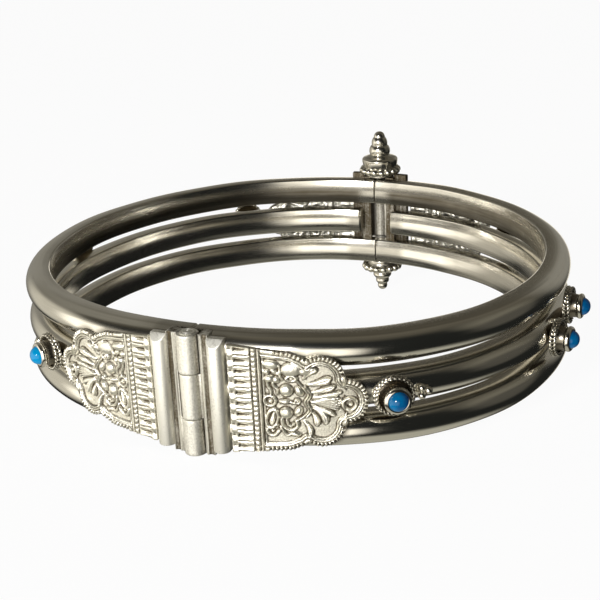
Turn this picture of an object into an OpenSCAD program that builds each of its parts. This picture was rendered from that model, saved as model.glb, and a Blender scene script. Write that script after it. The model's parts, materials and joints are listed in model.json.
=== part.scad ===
// Hinged bangle: two halves of three polished rails, joined by a riveted hinge at the front
// and a draw-out pin at the back. Stamped plates flank the hinge and the clasp, and small
// turquoise stones stand in raised settings. Millimetres, +Z up.
//
// The pieces are modelled in the ring's own frame: hinge towards -Y, clasp towards +Y, the
// middle rail at z = 0. rest() then tips the ring back on its hinge and its lower finial.

/* [Ring] */
// Outer radius of the flatter stretch beside the hinge
hinge_arc_r = 47.2; // [44.8:2.4:49.6]
// Outer radius of the tighter stretch at each side
side_arc_r = 28; // [27.52:0.24:28.48]

/* [Rails] */
// Height of one rail
rail_h = 3.5; // [3.2:0.1:3.6]
// Depth of one rail from its outer to its inner face
rail_depth = 3.3; // [3.1:0.1:3.4]
// Radius of the slightly rounded inner face, which meets the flat top and bottom at an edge
rail_inner_face_r = 5; // [4:0.5:8]
// Distance between the middles of neighbouring rails
rail_pitch = 4.55; // [4.4:0.05:4.7]

/* [Hinge and clasp] */
// Outer radius of the hinge barrel
hinge_barrel_r = 1.22; // [1.15:0.01:1.22]
// Outer radius of the clasp barrel
clasp_barrel_r = 1.08; // [1:0.01:1.15]
// Distance of both barrel axes behind the outer line of the rails
axis_depth = 0.28; // [0.25:0.01:0.35]
// Radius of the riveted hinge pin
hinge_pin_r = 0.55; // [0.5:0.01:0.6]
// Radius of the draw-out clasp pin
clasp_pin_r = 0.55; // [0.5:0.01:0.6]
// Radial clearance of a pin in its knuckles
pin_clearance = 0.05; // [0.03:0.01:0.08]
// Gap between neighbouring knuckles
knuckle_gap = 0.1; // [0.08:0.01:0.15]

/* [Ribs] */
// Width of the half-round rib beside each barrel
rib_w = 1.9; // [1.7:0.1:2]
// Distance along the ring from the barrel axis to the middle of a rib
rib_place = 3.25; // [3.2:0.05:3.3]

/* [Plates] */
// Distance along the ring from the barrel axis to the start of a right plate
plate_start = 4.6; // [4.4:0.1:4.8]
// Length of a right plate along the ring
plate_len = 14.4; // [14:0.1:14.6]
// Distance along the ring from the barrel axis to the start of a left plate
left_plate_start = 4.3; // [4.3:0.1:4.8]
// Length of a left plate along the ring
left_plate_len = 13.6; // [13.4:0.1:14.6]
// Height of a plate at its wide end
plate_h = 12.2; // [11.6:0.1:12.4]
// Thickness of a plate with its relief
plate_t = 0.5; // [0.4:0.05:0.6]

/* [Settings] */
// Diameter of a setting's roped base
setting_d = 4.5; // [4.2:0.1:4.6]
// Height of a setting from the rail to the top of its stone
setting_h = 2.9; // [2.8:0.1:3.2]
// Diameter of a stone
stone_d = 2.1; // [1.9:0.1:2.2]
// Distance along the ring from the hinge to the upper setting of the right half's pair
right_pair_place = 50.6; // [48:0.2:54]
// Distance along the ring from the hinge to the upper setting of the left half's pair
left_pair_place = 54.6; // [50:0.2:56]
// Distance along the ring from a pair's upper setting to its lower one, towards the hinge
pair_stagger = 4.4; // [4.2:0.1:5]
// Radius of a granule
granule_r = 0.44; // [0.43:0.01:0.46]

/* [Finials] */
// Height of the upper finial
upper_finial_h = 6.6; // [6.4:0.1:7]
// Height of the lower finial
lower_finial_h = 5.1; // [4.9:0.1:5.4]
// Outer radius of the ring of granules round a finial
finial_r = 3.05; // [2.9:0.05:3.2]

/* [Hidden] */
$fn = 64;
eps = 0.01;

SILVER = [0.80, 0.78, 0.72];
PALE_SILVER = [0.86, 0.84, 0.76];
TURQUOISE = [0.05, 0.50, 0.78];

RIGHT = 1;
LEFT = -1;
HINGE = 0;
CLASP = 1;

// Outer line of the right half: three tangent arcs, from the hinge round to the clasp. They
// join in directions taken from the 7, 24, 25 triangle, so their centres are round numbers
joint_sine = 0.28;
hinge_arc_end = -acos(joint_sine);
side_arc_end = -asin(joint_sine);
clasp_arc_r = side_arc_r
    + (hinge_arc_r - side_arc_r) * cos(hinge_arc_end) / cos(side_arc_end);
side_shift = (hinge_arc_r - side_arc_r) * [cos(hinge_arc_end), sin(hinge_arc_end)];
clasp_shift = side_shift
    + (side_arc_r - clasp_arc_r) * [cos(side_arc_end), sin(side_arc_end)];
across = clasp_shift[1] + clasp_arc_r + hinge_arc_r;
hinge_centre = [0, hinge_arc_r - across / 2];

// Columns of ARCS: start direction, turn, outer radius, centre
ARC_START = 0;
ARC_TURN = 1;
ARC_R = 2;
ARC_CENTRE = 3;
ARCS = [
    [-90, 90 + hinge_arc_end, hinge_arc_r, hinge_centre],
    [hinge_arc_end, side_arc_end - hinge_arc_end, side_arc_r, hinge_centre + side_shift],
    [side_arc_end, 90 - side_arc_end, clasp_arc_r, hinge_centre + clasp_shift],
];

// Each sweep starts at a joint of two arcs. The two along the side arc overlap at its middle,
// and the outer two overrun the half. Columns of SWEEPS: arc, start direction, turn
overrun = 1;
overlap = 3;
side_arc_half = (side_arc_end - hinge_arc_end) / 2;
SWEEPS = [
    [ARCS[0], hinge_arc_end, -90 - hinge_arc_end - overrun],
    [ARCS[1], hinge_arc_end, side_arc_half + overlap],
    [ARCS[1], side_arc_end, -side_arc_half - overlap],
    [ARCS[2], side_arc_end, 90 - side_arc_end + overrun],
];

function arc_length(arc) = arc[ARC_R] * arc[ARC_TURN] * PI / 180;
hinge_arc_len = arc_length(ARCS[0]);
side_arc_len = arc_length(ARCS[1]);
half_len = hinge_arc_len + side_arc_len + arc_length(ARCS[2]);

// Index of the arc, and direction of the outward normal, at a distance s from the hinge
function arc_index(s) = s < hinge_arc_len ? 0 : s < hinge_arc_len + side_arc_len ? 1 : 2;
function arc_from(i) = [0, hinge_arc_len, hinge_arc_len + side_arc_len][i];
function direction(s) = let(i = arc_index(s), arc = ARCS[i])
    arc[ARC_START] + (s - arc_from(i)) / arc[ARC_R] * 180 / PI;
function outer_point(s) = let(arc = ARCS[arc_index(s)], a = direction(s))
    arc[ARC_CENTRE] + arc[ARC_R] * [cos(a), sin(a)];

// Barrels. Columns: outer radius, bottom, lower joint, upper joint, top
BARREL_R = 0;
BARREL_Z = [1, 2, 3, 4];
BARREL = [
    [hinge_barrel_r, -7.5, -3.3, 1.9, 6.3],
    [clasp_barrel_r, -6.4, -2.75, 2.75, 6.4],
];
function barrel_z(end, i) = BARREL[end][BARREL_Z[i]];
leaf_gap = 0.1;
leaf_to = 2.4;
leaf_back = -1.6;
leaf_front = 0.12;
rib_back = -0.6;
// Columns: bottom and top of the ribs beside each barrel
RIB_Z = [[-6.8, 6.05], [-6.9, 6.75]];
rib_bevel = 1.1;
seam_gap = 0.05;

// Plates: the outline is a tapering panel, a lobe at each corner and a round tip. Columns of
// PLATE_EDGE, the panel's upper edge: share of the plate's length, share of its half height
PLATE_EDGE = [[0, 1], [0.45, 0.9], [0.56, 0.785]];
plate_gap = 0.03;
plate_drop = 0.45;
lobe_r = 2.5;
lobe_place = 9.55;
lobe_rise = 2.55;
tip_r = 2.5;
function plate_from(side) = side == LEFT ? left_plate_start : plate_start;
function plate_reach(side) = side == LEFT ? left_plate_len : plate_len;

// Settings
setting_gap = 0.04;
setting_r = setting_d / 2;
rope_r = 0.27;
base_t = 0.6;
collar_r = 1.72;
bezel_r = stone_d / 2 + 0.13;
bezel_h = setting_h - 0.95;
stone_foot = bezel_h - 0.55;
stone_gap = 0.03;
tip_gap = 0.35;
trio_place = 2.9;
trio_step = 0.42;
upper_rise = 1.8;
lower_rise = -0.5;
function tip_rise(side) = side == LEFT ? 0.1 : -0.2;
function tip_place(side) = plate_from(side) + plate_reach(side) + tip_gap + setting_r;
function upper_place(side) = side == LEFT ? left_pair_place : right_pair_place;
function lower_place(side) = upper_place(side) - pair_stagger;

// Finials. Both stand on the ends of the clasp barrel. Columns of the bead tables: height of
// a bead's top as a share of the finial's height, radius
finial_gap = 0.05;
bead_ring_r = 0.55;
foot_r = 2.15;
shoulder_r = 2.6;
// Columns: height of the middle of the ring of granules, height of the shoulder
UPPER_FOOT = [0.9, 2.8];
LOWER_FOOT = [1.15, 1.75];
UPPER_BEADS = [[0.8, 1.5], [0.95, 1.12], [1, 0.75]];
LOWER_BEADS = [[0.73, 1.35], [0.9, 1], [1, 0.72]];
clasp_top = barrel_z(CLASP, 3);
clasp_bottom = barrel_z(CLASP, 0);
axis_y = across / 2 - axis_depth;

// The rest pose: the ring leans on the front edge of the hinge and on its lower finial
hinge_foot = [-axis_y - hinge_barrel_r, barrel_z(HINGE, 0)];
finial_foot = [axis_y, clasp_bottom - finial_gap - lower_finial_h];
rest_pitch = atan((hinge_foot[1] - finial_foot[1]) / (finial_foot[0] - hinge_foot[0]));
rest_lift = -(hinge_foot[0] * sin(rest_pitch) + hinge_foot[1] * cos(rest_pitch));
front_reach = hinge_foot[0] * cos(rest_pitch) - barrel_z(HINGE, 3) * sin(rest_pitch);
back_reach = (axis_y + finial_r) * cos(rest_pitch)
    - (clasp_bottom - finial_gap - LOWER_FOOT[0]) * sin(rest_pitch);
rest_shift = -(front_reach + back_reach) / 2;

module rest() {
    translate([0, rest_shift, rest_lift]) rotate([rest_pitch, 0, 0]) children();
}

// The left half is the mirror image of the right one
module half(side) {
    if (side == LEFT) mirror([1, 0, 0]) children();
    else children();
}

// Frame of one end: x along the ring away from the barrel, y outwards from the outer line
module at_end(end) {
    if (end == HINGE) translate([0, -across / 2, 0]) mirror([0, 1, 0]) children();
    else translate([0, across / 2, 0]) children();
}

// Frame of a place on the ring: x outwards from the outer line, y along it, z up
module on_ring(s, z = 0) {
    p = outer_point(s);
    translate([p[0], p[1], z]) rotate(direction(s)) children();
}

// Distance along the ring from the hinge of a place given from either end
function from_hinge(end, s) = end == HINGE ? s : half_len - s;

// Round outside, flat above and below, and slightly rounded inside
module rail_profile() {
    intersection() {
        union() {
            translate([-rail_h / 2, 0]) circle(d = rail_h);
            translate([-rail_depth, -rail_h / 2]) square([rail_depth - rail_h / 2, rail_h]);
        }
        translate([rail_inner_face_r - rail_depth, 0]) circle(r = rail_inner_face_r);
    }
}

// Carries a profile along the outer line, with x outwards and y up
module sweep_half() {
    for (sweep = SWEEPS) {
        arc = sweep[0];
        translate([arc[ARC_CENTRE][0], arc[ARC_CENTRE][1], 0])
            rotate(sweep[1])
                rotate_extrude(angle = sweep[2])
                    translate([arc[ARC_R], 0]) children();
    }
}

// What one end takes out of a rail: the notch for leaf and barrel, and the seat of the rib
module rail_notch(end, level) {
    deep = rail_depth + 1;
    at_end(end) {
        translate([-1, -deep, -rail_h]) cube([1 + seam_gap, deep + 2, 2 * rail_h]);
        translate([-1, level == 0 ? -deep : leaf_back, -rail_h])
            cube([1 + leaf_to, deep + 2, 2 * rail_h]);
    }
    on_ring(from_hinge(end, rib_place))
        translate([rib_back, -rib_w / 2, -rail_h]) cube([2, rib_w, 2 * rail_h]);
}

module rail(side, level) {
    color(SILVER) half(side) translate([0, 0, level * rail_pitch])
        difference() {
            sweep_half() rail_profile();
            rail_notch(HINGE, level);
            rail_notch(CLASP, level);
        }
}

module rib(end) {
    bottom = RIB_Z[end][0];
    top = RIB_Z[end][1];
    on_ring(from_hinge(end, rib_place)) difference() {
        translate([0, 0, bottom]) linear_extrude(top - bottom) {
            intersection() {
                circle(d = rib_w);
                translate([0, -rib_w / 2]) square(rib_w);
            }
            translate([rib_back, -rib_w / 2]) square([eps - rib_back, rib_w]);
        }
        translate([0, -rib_w, top + rib_back])
            rotate([0, 45, 0]) translate([0, 0, rib_bevel / 2]) cube([3, 2 * rib_w, 3]);
    }
}

// Knuckle between joints i and i + 1 of a barrel, with the web that joins it to its leaf
module knuckle(end, i) {
    low = barrel_z(end, i) + (i == 0 ? 0 : knuckle_gap / 2);
    high = barrel_z(end, i + 1) - (i == 2 ? 0 : knuckle_gap / 2);
    r = BARREL[end][BARREL_R];
    translate([0, 0, low]) {
        translate([0, -axis_depth, 0]) cylinder(r = r, h = high - low);
        translate([0, -axis_depth - r * 0.8, 0]) cube([r + 2 * leaf_gap, r * 1.1, high - low]);
    }
}

// Leaf, rib and knuckles of one half at one end, soldered into one piece
module end_fitting(side, end) {
    r = BARREL[end][BARREL_R];
    bottom = barrel_z(end, 0);
    height = barrel_z(end, 3) - bottom;
    pin_r = (end == HINGE ? hinge_pin_r : clasp_pin_r) + pin_clearance;
    color(PALE_SILVER) half(side) {
        at_end(end) difference() {
            union() {
                translate([r + leaf_gap, leaf_back, bottom])
                    cube([leaf_to - r - leaf_gap, leaf_front - leaf_back, height]);
                if (side == LEFT) {
                    knuckle(end, 0);
                    knuckle(end, 2);
                }
                else knuckle(end, 1);
            }
            translate([0, -axis_depth, bottom - 1]) cylinder(r = pin_r, h = height + 2);
        }
        rib(end);
    }
}

module hinge_pin() {
    bottom = barrel_z(HINGE, 0);
    top = barrel_z(HINGE, 3);
    color(SILVER) at_end(HINGE) translate([0, -axis_depth, 0]) {
        translate([0, 0, bottom + eps]) cylinder(r = hinge_pin_r, h = top - bottom);
        translate([0, 0, top + eps]) cylinder(r1 = hinge_pin_r * 1.5, r2 = hinge_pin_r, h = 0.16);
    }
}

// Foot with its ring of granules, a shoulder and a stack of beads
module finial(h, foot, beads) {
    ring_rise = foot[0];
    shoulder_rise = foot[1];
    first_bead = beads[0][0] * h - beads[0][1];
    cylinder(r = foot_r, h = ring_rise);
    translate([0, 0, ring_rise]) rotate_extrude()
        translate([finial_r - bead_ring_r, 0]) circle(r = bead_ring_r);
    translate([0, 0, ring_rise - eps]) cylinder(r = shoulder_r, h = shoulder_rise - ring_rise);
    translate([0, 0, shoulder_rise - 2 * eps])
        cylinder(r1 = shoulder_r, r2 = beads[0][1], h = first_bead - shoulder_rise);
    for (b = beads) translate([0, 0, b[0] * h - b[1]]) sphere(r = b[1]);
}

module clasp_pin() {
    color(SILVER) at_end(CLASP) translate([0, -axis_depth, 0]) {
        translate([0, 0, clasp_bottom + finial_gap])
            cylinder(r = clasp_pin_r, h = clasp_top - clasp_bottom);
        translate([0, 0, clasp_top + finial_gap]) finial(upper_finial_h, UPPER_FOOT, UPPER_BEADS);
    }
}

module lower_finial() {
    color(SILVER) at_end(CLASP) translate([0, -axis_depth, clasp_bottom - finial_gap])
        mirror([0, 0, 1]) finial(lower_finial_h, LOWER_FOOT, LOWER_BEADS);
}

// Outline of a plate in its own plane: x along the ring from its wide end, y up
module plate_outline() {
    neck = plate_len * PLATE_EDGE[2][0];
    edge = [for (p = PLATE_EDGE) [p[0] * plate_len, p[1] * plate_h / 2]];
    polygon([for (p = edge) [p[0], -p[1]], for (i = [2, 1, 0]) edge[i]]);
    translate([neck - 1, -lobe_rise]) square([plate_len - tip_r - neck + 1, 2 * lobe_rise]);
    for (s = [-1, 1]) translate([lobe_place, s * lobe_rise]) circle(r = lobe_r);
    translate([plate_len - tip_r, 0]) circle(r = tip_r);
}

// A sheet that follows the outer line, cut to the outline
module plate(side, end) {
    reach = plate_reach(side);
    towards_tip = end == HINGE ? 1 : -1;
    color(PALE_SILVER) half(side) intersection() {
        sweep_half() translate([plate_gap, -plate_h]) square([plate_t, 2 * plate_h]);
        on_ring(from_hinge(end, plate_from(side) + reach / 2), -plate_drop)
            rotate([90, 0, 90])
                translate([-towards_tip * reach / 2, 0, -rail_depth])
                    linear_extrude(2 * rail_depth)
                        scale([towards_tip * reach / plate_len, 1]) plate_outline();
    }
}

// Frame of a setting: z outwards from the rail
module at_setting(side, s, z) {
    half(side) on_ring(s, z) rotate([0, 90, 0]) translate([0, 0, setting_gap]) children();
}

module setting(side, s, z) {
    color(SILVER) at_setting(side, s, z) difference() {
        union() {
            cylinder(r = setting_r - rope_r, h = base_t + rope_r);
            for (i = [0, 1]) translate([0, 0, rope_r + i * 1.6 * rope_r]) rotate_extrude()
                translate([setting_r - rope_r * (1 + i * 0.8), 0]) circle(r = rope_r);
            translate([0, 0, base_t]) cylinder(r1 = collar_r, r2 = bezel_r, h = bezel_h - base_t);
        }
        translate([0, 0, stone_foot - stone_gap])
            cylinder(r = stone_d / 2 + stone_gap, h = setting_h);
    }
}

module stone(side, s, z) {
    dome = stone_d / 2;
    color(TURQUOISE) at_setting(side, s, z) translate([0, 0, stone_foot]) {
        cylinder(r = dome, h = setting_h - stone_foot - dome);
        translate([0, 0, setting_h - stone_foot - dome]) intersection() {
            sphere(r = dome);
            translate([-dome, -dome, 0]) cube(2 * dome);
        }
    }
}

// Three granules in a trefoil on the middle rail, on the side away from the plate
module granules(side, end) {
    color(SILVER) half(side) for (p = [[0, 1], [0, -1], [1.75, 0]])
        on_ring(from_hinge(end, tip_place(side) + trio_place + p[0] * trio_step),
                tip_rise(side) + p[1] * trio_step)
            translate([granule_r + setting_gap, 0, 0]) sphere(r = granule_r);
}

rest() {
    rail(LEFT, 1);  // left_upper_rail
    rail(LEFT, 0);  // left_middle_rail
    rail(LEFT, -1);  // left_lower_rail
    rail(RIGHT, 1);  // right_upper_rail
    rail(RIGHT, 0);  // right_middle_rail
    rail(RIGHT, -1);  // right_lower_rail
    end_fitting(LEFT, HINGE);  // left_hinge_end
    end_fitting(LEFT, CLASP);  // left_clasp_end
    end_fitting(RIGHT, HINGE);  // right_hinge_end
    end_fitting(RIGHT, CLASP);  // right_clasp_end
    hinge_pin();
    clasp_pin();
    lower_finial();
    plate(LEFT, HINGE);  // left_hinge_plate
    plate(LEFT, CLASP);  // left_clasp_plate
    plate(RIGHT, HINGE);  // right_hinge_plate
    plate(RIGHT, CLASP);  // right_clasp_plate
    setting(LEFT, tip_place(LEFT), tip_rise(LEFT));  // left_hinge_setting
    setting(LEFT, upper_place(LEFT), upper_rise);  // left_upper_setting
    setting(LEFT, lower_place(LEFT), lower_rise);  // left_lower_setting
    setting(LEFT, from_hinge(CLASP, tip_place(LEFT)), tip_rise(LEFT));  // left_clasp_setting
    setting(RIGHT, tip_place(RIGHT), tip_rise(RIGHT));  // right_hinge_setting
    setting(RIGHT, upper_place(RIGHT), upper_rise);  // right_upper_setting
    setting(RIGHT, lower_place(RIGHT), lower_rise);  // right_lower_setting
    setting(RIGHT, from_hinge(CLASP, tip_place(RIGHT)), tip_rise(RIGHT));  // right_clasp_setting
    stone(LEFT, tip_place(LEFT), tip_rise(LEFT));  // left_hinge_stone
    stone(LEFT, upper_place(LEFT), upper_rise);  // left_upper_stone
    stone(LEFT, lower_place(LEFT), lower_rise);  // left_lower_stone
    stone(LEFT, from_hinge(CLASP, tip_place(LEFT)), tip_rise(LEFT));  // left_clasp_stone
    stone(RIGHT, tip_place(RIGHT), tip_rise(RIGHT));  // right_hinge_stone
    stone(RIGHT, upper_place(RIGHT), upper_rise);  // right_upper_stone
    stone(RIGHT, lower_place(RIGHT), lower_rise);  // right_lower_stone
    stone(RIGHT, from_hinge(CLASP, tip_place(RIGHT)), tip_rise(RIGHT));  // right_clasp_stone
    granules(LEFT, HINGE);  // left_hinge_granules
    granules(LEFT, CLASP);  // left_clasp_granules
    granules(RIGHT, HINGE);  // right_hinge_granules
    granules(RIGHT, CLASP);  // right_clasp_granules
}
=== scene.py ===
"""Finish of a hinged silver bangle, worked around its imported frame.

The bangle has two half rings of three polished rails. A riveted hinge joins them at the front
and a draw-out pin at the back. Stamped plates flank hinge and clasp, and turquoise stones stand
in roped settings.

Shapes are worked out in the ring's own frame, in millimetres: hinge towards -Y, clasp towards
+Y and the middle rail at height 0. A place on a half is given by its distance from the hinge
along the outer line, its distance outwards from that line, and its height.
"""

import json
import logging
import math
from dataclasses import dataclass
from enum import Enum
from functools import cached_property
from itertools import product
from typing import Any

import bmesh
import bpy
import numpy as np
from mathutils import Matrix, Vector

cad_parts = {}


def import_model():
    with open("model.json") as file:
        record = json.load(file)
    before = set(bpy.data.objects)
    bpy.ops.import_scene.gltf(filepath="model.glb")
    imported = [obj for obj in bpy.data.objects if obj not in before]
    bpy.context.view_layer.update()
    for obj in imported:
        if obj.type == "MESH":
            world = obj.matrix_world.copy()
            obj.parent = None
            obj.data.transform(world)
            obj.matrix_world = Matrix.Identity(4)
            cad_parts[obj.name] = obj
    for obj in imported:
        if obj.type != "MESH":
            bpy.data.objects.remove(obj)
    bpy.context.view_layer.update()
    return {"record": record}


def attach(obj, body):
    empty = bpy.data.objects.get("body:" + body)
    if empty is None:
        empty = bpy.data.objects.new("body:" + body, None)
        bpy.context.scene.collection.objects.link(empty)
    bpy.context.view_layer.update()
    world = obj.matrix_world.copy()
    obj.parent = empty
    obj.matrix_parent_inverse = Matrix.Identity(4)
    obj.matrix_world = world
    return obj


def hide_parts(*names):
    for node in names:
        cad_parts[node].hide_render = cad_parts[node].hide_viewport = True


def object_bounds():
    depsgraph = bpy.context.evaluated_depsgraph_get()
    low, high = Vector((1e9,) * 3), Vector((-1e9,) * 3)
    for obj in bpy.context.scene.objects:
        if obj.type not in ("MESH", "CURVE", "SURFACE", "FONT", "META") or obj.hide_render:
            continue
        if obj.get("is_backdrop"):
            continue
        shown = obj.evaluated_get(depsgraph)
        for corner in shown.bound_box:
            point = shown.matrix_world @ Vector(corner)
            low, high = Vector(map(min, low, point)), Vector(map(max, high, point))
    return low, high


log = logging.getLogger("bangle")

Array = np.ndarray
Colour = tuple[float, float, float]
Pair = tuple[float, float]

MM = 0.001
TINY = 1e-3


def ramp(value: Array | float, low: Array | float, high: Array | float) -> Array:
    """Straight rise from 0 at low to 1 at high, held past both. Low may be the larger one."""
    return np.clip((value - low) / (high - low), 0, 1)


def half_round(distance: Array, half: Array | float, power: float = 2) -> Array:
    """Half circle over a distance: the root of 1 less its power, 0 past the half width."""
    return np.sqrt(np.clip(1 - (distance / half) ** power, 0, 1))


def bell(distance: Array, half: Array | float, power: int = 2) -> Array:
    """Bell over a distance: e to minus its power. A high power makes it a flat-topped band."""
    return np.exp(-((distance / half) ** power))


def quarter_turn(steps: int) -> Array:
    """Angles from 0 to a right angle."""
    return np.linspace(0, math.pi / 2, steps)


def full_turn(steps: int) -> Array:
    """Angles round a circle, without the last, which is the first again."""
    return np.linspace(0, 2 * math.pi, steps, endpoint=False)


def quads(ids: Array) -> list[list[int]]:
    """Faces between the rows and columns of a grid of point numbers."""
    corners = np.stack([ids[:-1, :-1], ids[1:, :-1], ids[1:, 1:], ids[:-1, 1:]], axis=-1)
    return corners.reshape(-1, 4).tolist()


class Side(Enum):
    """A half of the bangle, with the sign of its X."""

    LEFT = -1
    RIGHT = 1

    @property
    def word(self) -> str:
        """The side's name in the names of its pieces."""
        return self.name.lower()

    @property
    def body(self) -> str:
        """The body that the half's pieces ride on."""
        return f"{self.word}_half"


class End(Enum):
    """An end of a half."""

    HINGE = "hinge"
    CLASP = "clasp"


class Level(Enum):
    """A rail of a half, with its place in the stack."""

    UPPER = 1
    MIDDLE = 0
    LOWER = -1


class Seat(Enum):
    """A setting of a half: one past each plate's tip, and the staggered pair between them."""

    HINGE = "hinge"
    UPPER = "upper"
    LOWER = "lower"
    CLASP = "clasp"


@dataclass(frozen=True)
class RingFrame:
    """The ring's own frame within the part's frame."""

    middle: tuple[float, float, float]
    up: tuple[float, float, float]

    @classmethod
    def from_record(cls, record: dict[str, Any]) -> "RingFrame":
        """Takes the ring's middle and axis from the wrist mount.

        Args:
            record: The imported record.

        Returns:
            The ring's frame.
        """
        wrist = next(m for m in record["mounts"] if m["name"] == "wrist")
        return cls(tuple(wrist["pos_m"]), tuple(wrist["axis"]))

    def to_part(self, points: Array) -> Array:
        """Takes points in millimetres in the ring's frame to metres in the part's frame.

        Args:
            points: Points, with x, y and z last.

        Returns:
            The same points in the part's frame.
        """
        up = np.array(self.up) / np.linalg.norm(self.up)
        across = np.array([1.0, 0.0, 0.0])
        axes = np.stack([across, np.cross(up, across), up])
        return np.array(self.middle) + MM * (points @ axes)


@dataclass(frozen=True)
class Outline:
    """Outer line of a half: three tangent arcs from the hinge round to the clasp."""

    hinge_radius: float = 47.2
    side_radius: float = 28.0
    joint_sine: float = 0.28

    @cached_property
    def _joint_cosine(self) -> float:
        """Cosine that goes with the joints' sine."""
        return math.sqrt(1 - self.joint_sine**2)

    @cached_property
    def _radii(self) -> Array:
        """Radii of the three arcs: the joints' directions fix the third.

        Returns:
            One radius for each arc.
        """
        step = self.hinge_radius - self.side_radius
        third = self.side_radius + step * self.joint_sine / self._joint_cosine
        return np.array([self.hinge_radius, self.side_radius, third])

    @cached_property
    def _starts(self) -> Array:
        """Directions in which the three arcs start, and in which the last one ends.

        Returns:
            Angles from +X.
        """
        return np.array([
            -math.pi / 2,
            -math.acos(self.joint_sine),
            -math.asin(self.joint_sine),
            math.pi / 2,
        ])

    @cached_property
    def _begins(self) -> Array:
        """Distances from the hinge at which the three arcs start, and at which the last ends."""
        return np.concatenate([[0.0], np.cumsum(self._radii * np.diff(self._starts))])

    @cached_property
    def _centres(self) -> Array:
        """Centres of the three arcs: each joint lies on the line through two centres.

        Returns:
            X and y of each, for the right half.
        """
        joints = np.stack([np.cos(self._starts[1:3]), np.sin(self._starts[1:3])], axis=1)
        steps = (self._radii[:2] - self._radii[1:])[:, None] * joints
        shifts = np.concatenate([[[0.0, 0.0]], np.cumsum(steps, axis=0)])
        across = shifts[2, 1] + self._radii[2] + self._radii[0]
        return shifts + [0.0, self._radii[0] - across / 2]

    @property
    def length(self) -> float:
        """Length of a half along its outer line."""
        return float(self._begins[3])

    @cached_property
    def reach(self) -> float:
        """Distance from the ring's middle to the outer line at the hinge and at the clasp."""
        return float(self._centres[2, 1] + self._radii[2])

    def from_hinge(self, end: End, s: Array | float) -> Array | float:
        """Distance from the hinge of a place that is given from either end."""
        return s if end is End.HINGE else self.length - s

    def direction(self, s: Array) -> Array:
        """Direction of the outward normal at distances s from the hinge."""
        arc = np.searchsorted(self._begins[1:3], s, side="right")
        return self._starts[arc] + (s - self._begins[arc]) / self._radii[arc]

    def at(self, s: Array, off: Array, z: Array, side: Side) -> Array:
        """Points of a half: centre of the arc plus radius and offset along the normal.

        Args:
            s: Distance from the hinge along the outer line.
            off: Distance outwards from that line.
            z: Height above the middle rail.
            side: The half.

        Returns:
            Points, with x, y and z last.
        """
        s, off, z = np.broadcast_arrays(np.asarray(s, float), off, z)
        arc = np.searchsorted(self._begins[1:3], s, side="right")
        turn = self.direction(s)
        reach = self._radii[arc] + off
        x = self._centres[arc, 0] + reach * np.cos(turn)
        y = self._centres[arc, 1] + reach * np.sin(turn)
        return np.stack([side.value * x, y, z], axis=-1)

    def at_end(self, end: End, x: Array, out: Array, z: Array, side: Side) -> Array:
        """Points beside a barrel, whose axis lies on the seam of the two halves.

        Args:
            end: The end of the half.
            x: Distance from the seam along the ring.
            out: Distance outwards from the outer line.
            z: Height above the middle rail.
            side: The half.

        Returns:
            Points, with x, y and z last.
        """
        x, out, z = np.broadcast_arrays(np.asarray(x, float), out, z)
        sign = -1.0 if end is End.HINGE else 1.0
        return np.stack([side.value * x, sign * (self.reach + out), z], axis=-1)

    def spot(self, s: float, z: float, side: Side) -> "Spot":
        """The small frame that stands on the outer line at one place.

        Args:
            s: Distance from the hinge along the outer line.
            z: Height above the middle rail.
            side: The half.

        Returns:
            The place with its directions.
        """
        turn = float(self.direction(np.array(s)))
        outwards = np.array([side.value * math.cos(turn), math.sin(turn), 0.0])
        along = np.array([-side.value * math.sin(turn), math.cos(turn), 0.0])
        return Spot(self.at(s, 0.0, z, side), outwards, along)


@dataclass(frozen=True)
class Spot:
    """A place on the outer line, with its directions outwards and along the ring."""

    middle: Array
    outwards: Array
    along: Array

    def at(self, out: Array, along: Array, up: Array) -> Array:
        """Points near the place: its middle plus each distance along its own direction.

        Args:
            out: Distance outwards.
            along: Distance along the ring.
            up: Distance upwards.

        Returns:
            Points, with x, y and z last.
        """
        rise = np.array([0.0, 0.0, 1.0])
        return (
            self.middle
            + out[..., None] * self.outwards
            + along[..., None] * self.along
            + up[..., None] * rise
        )


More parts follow.
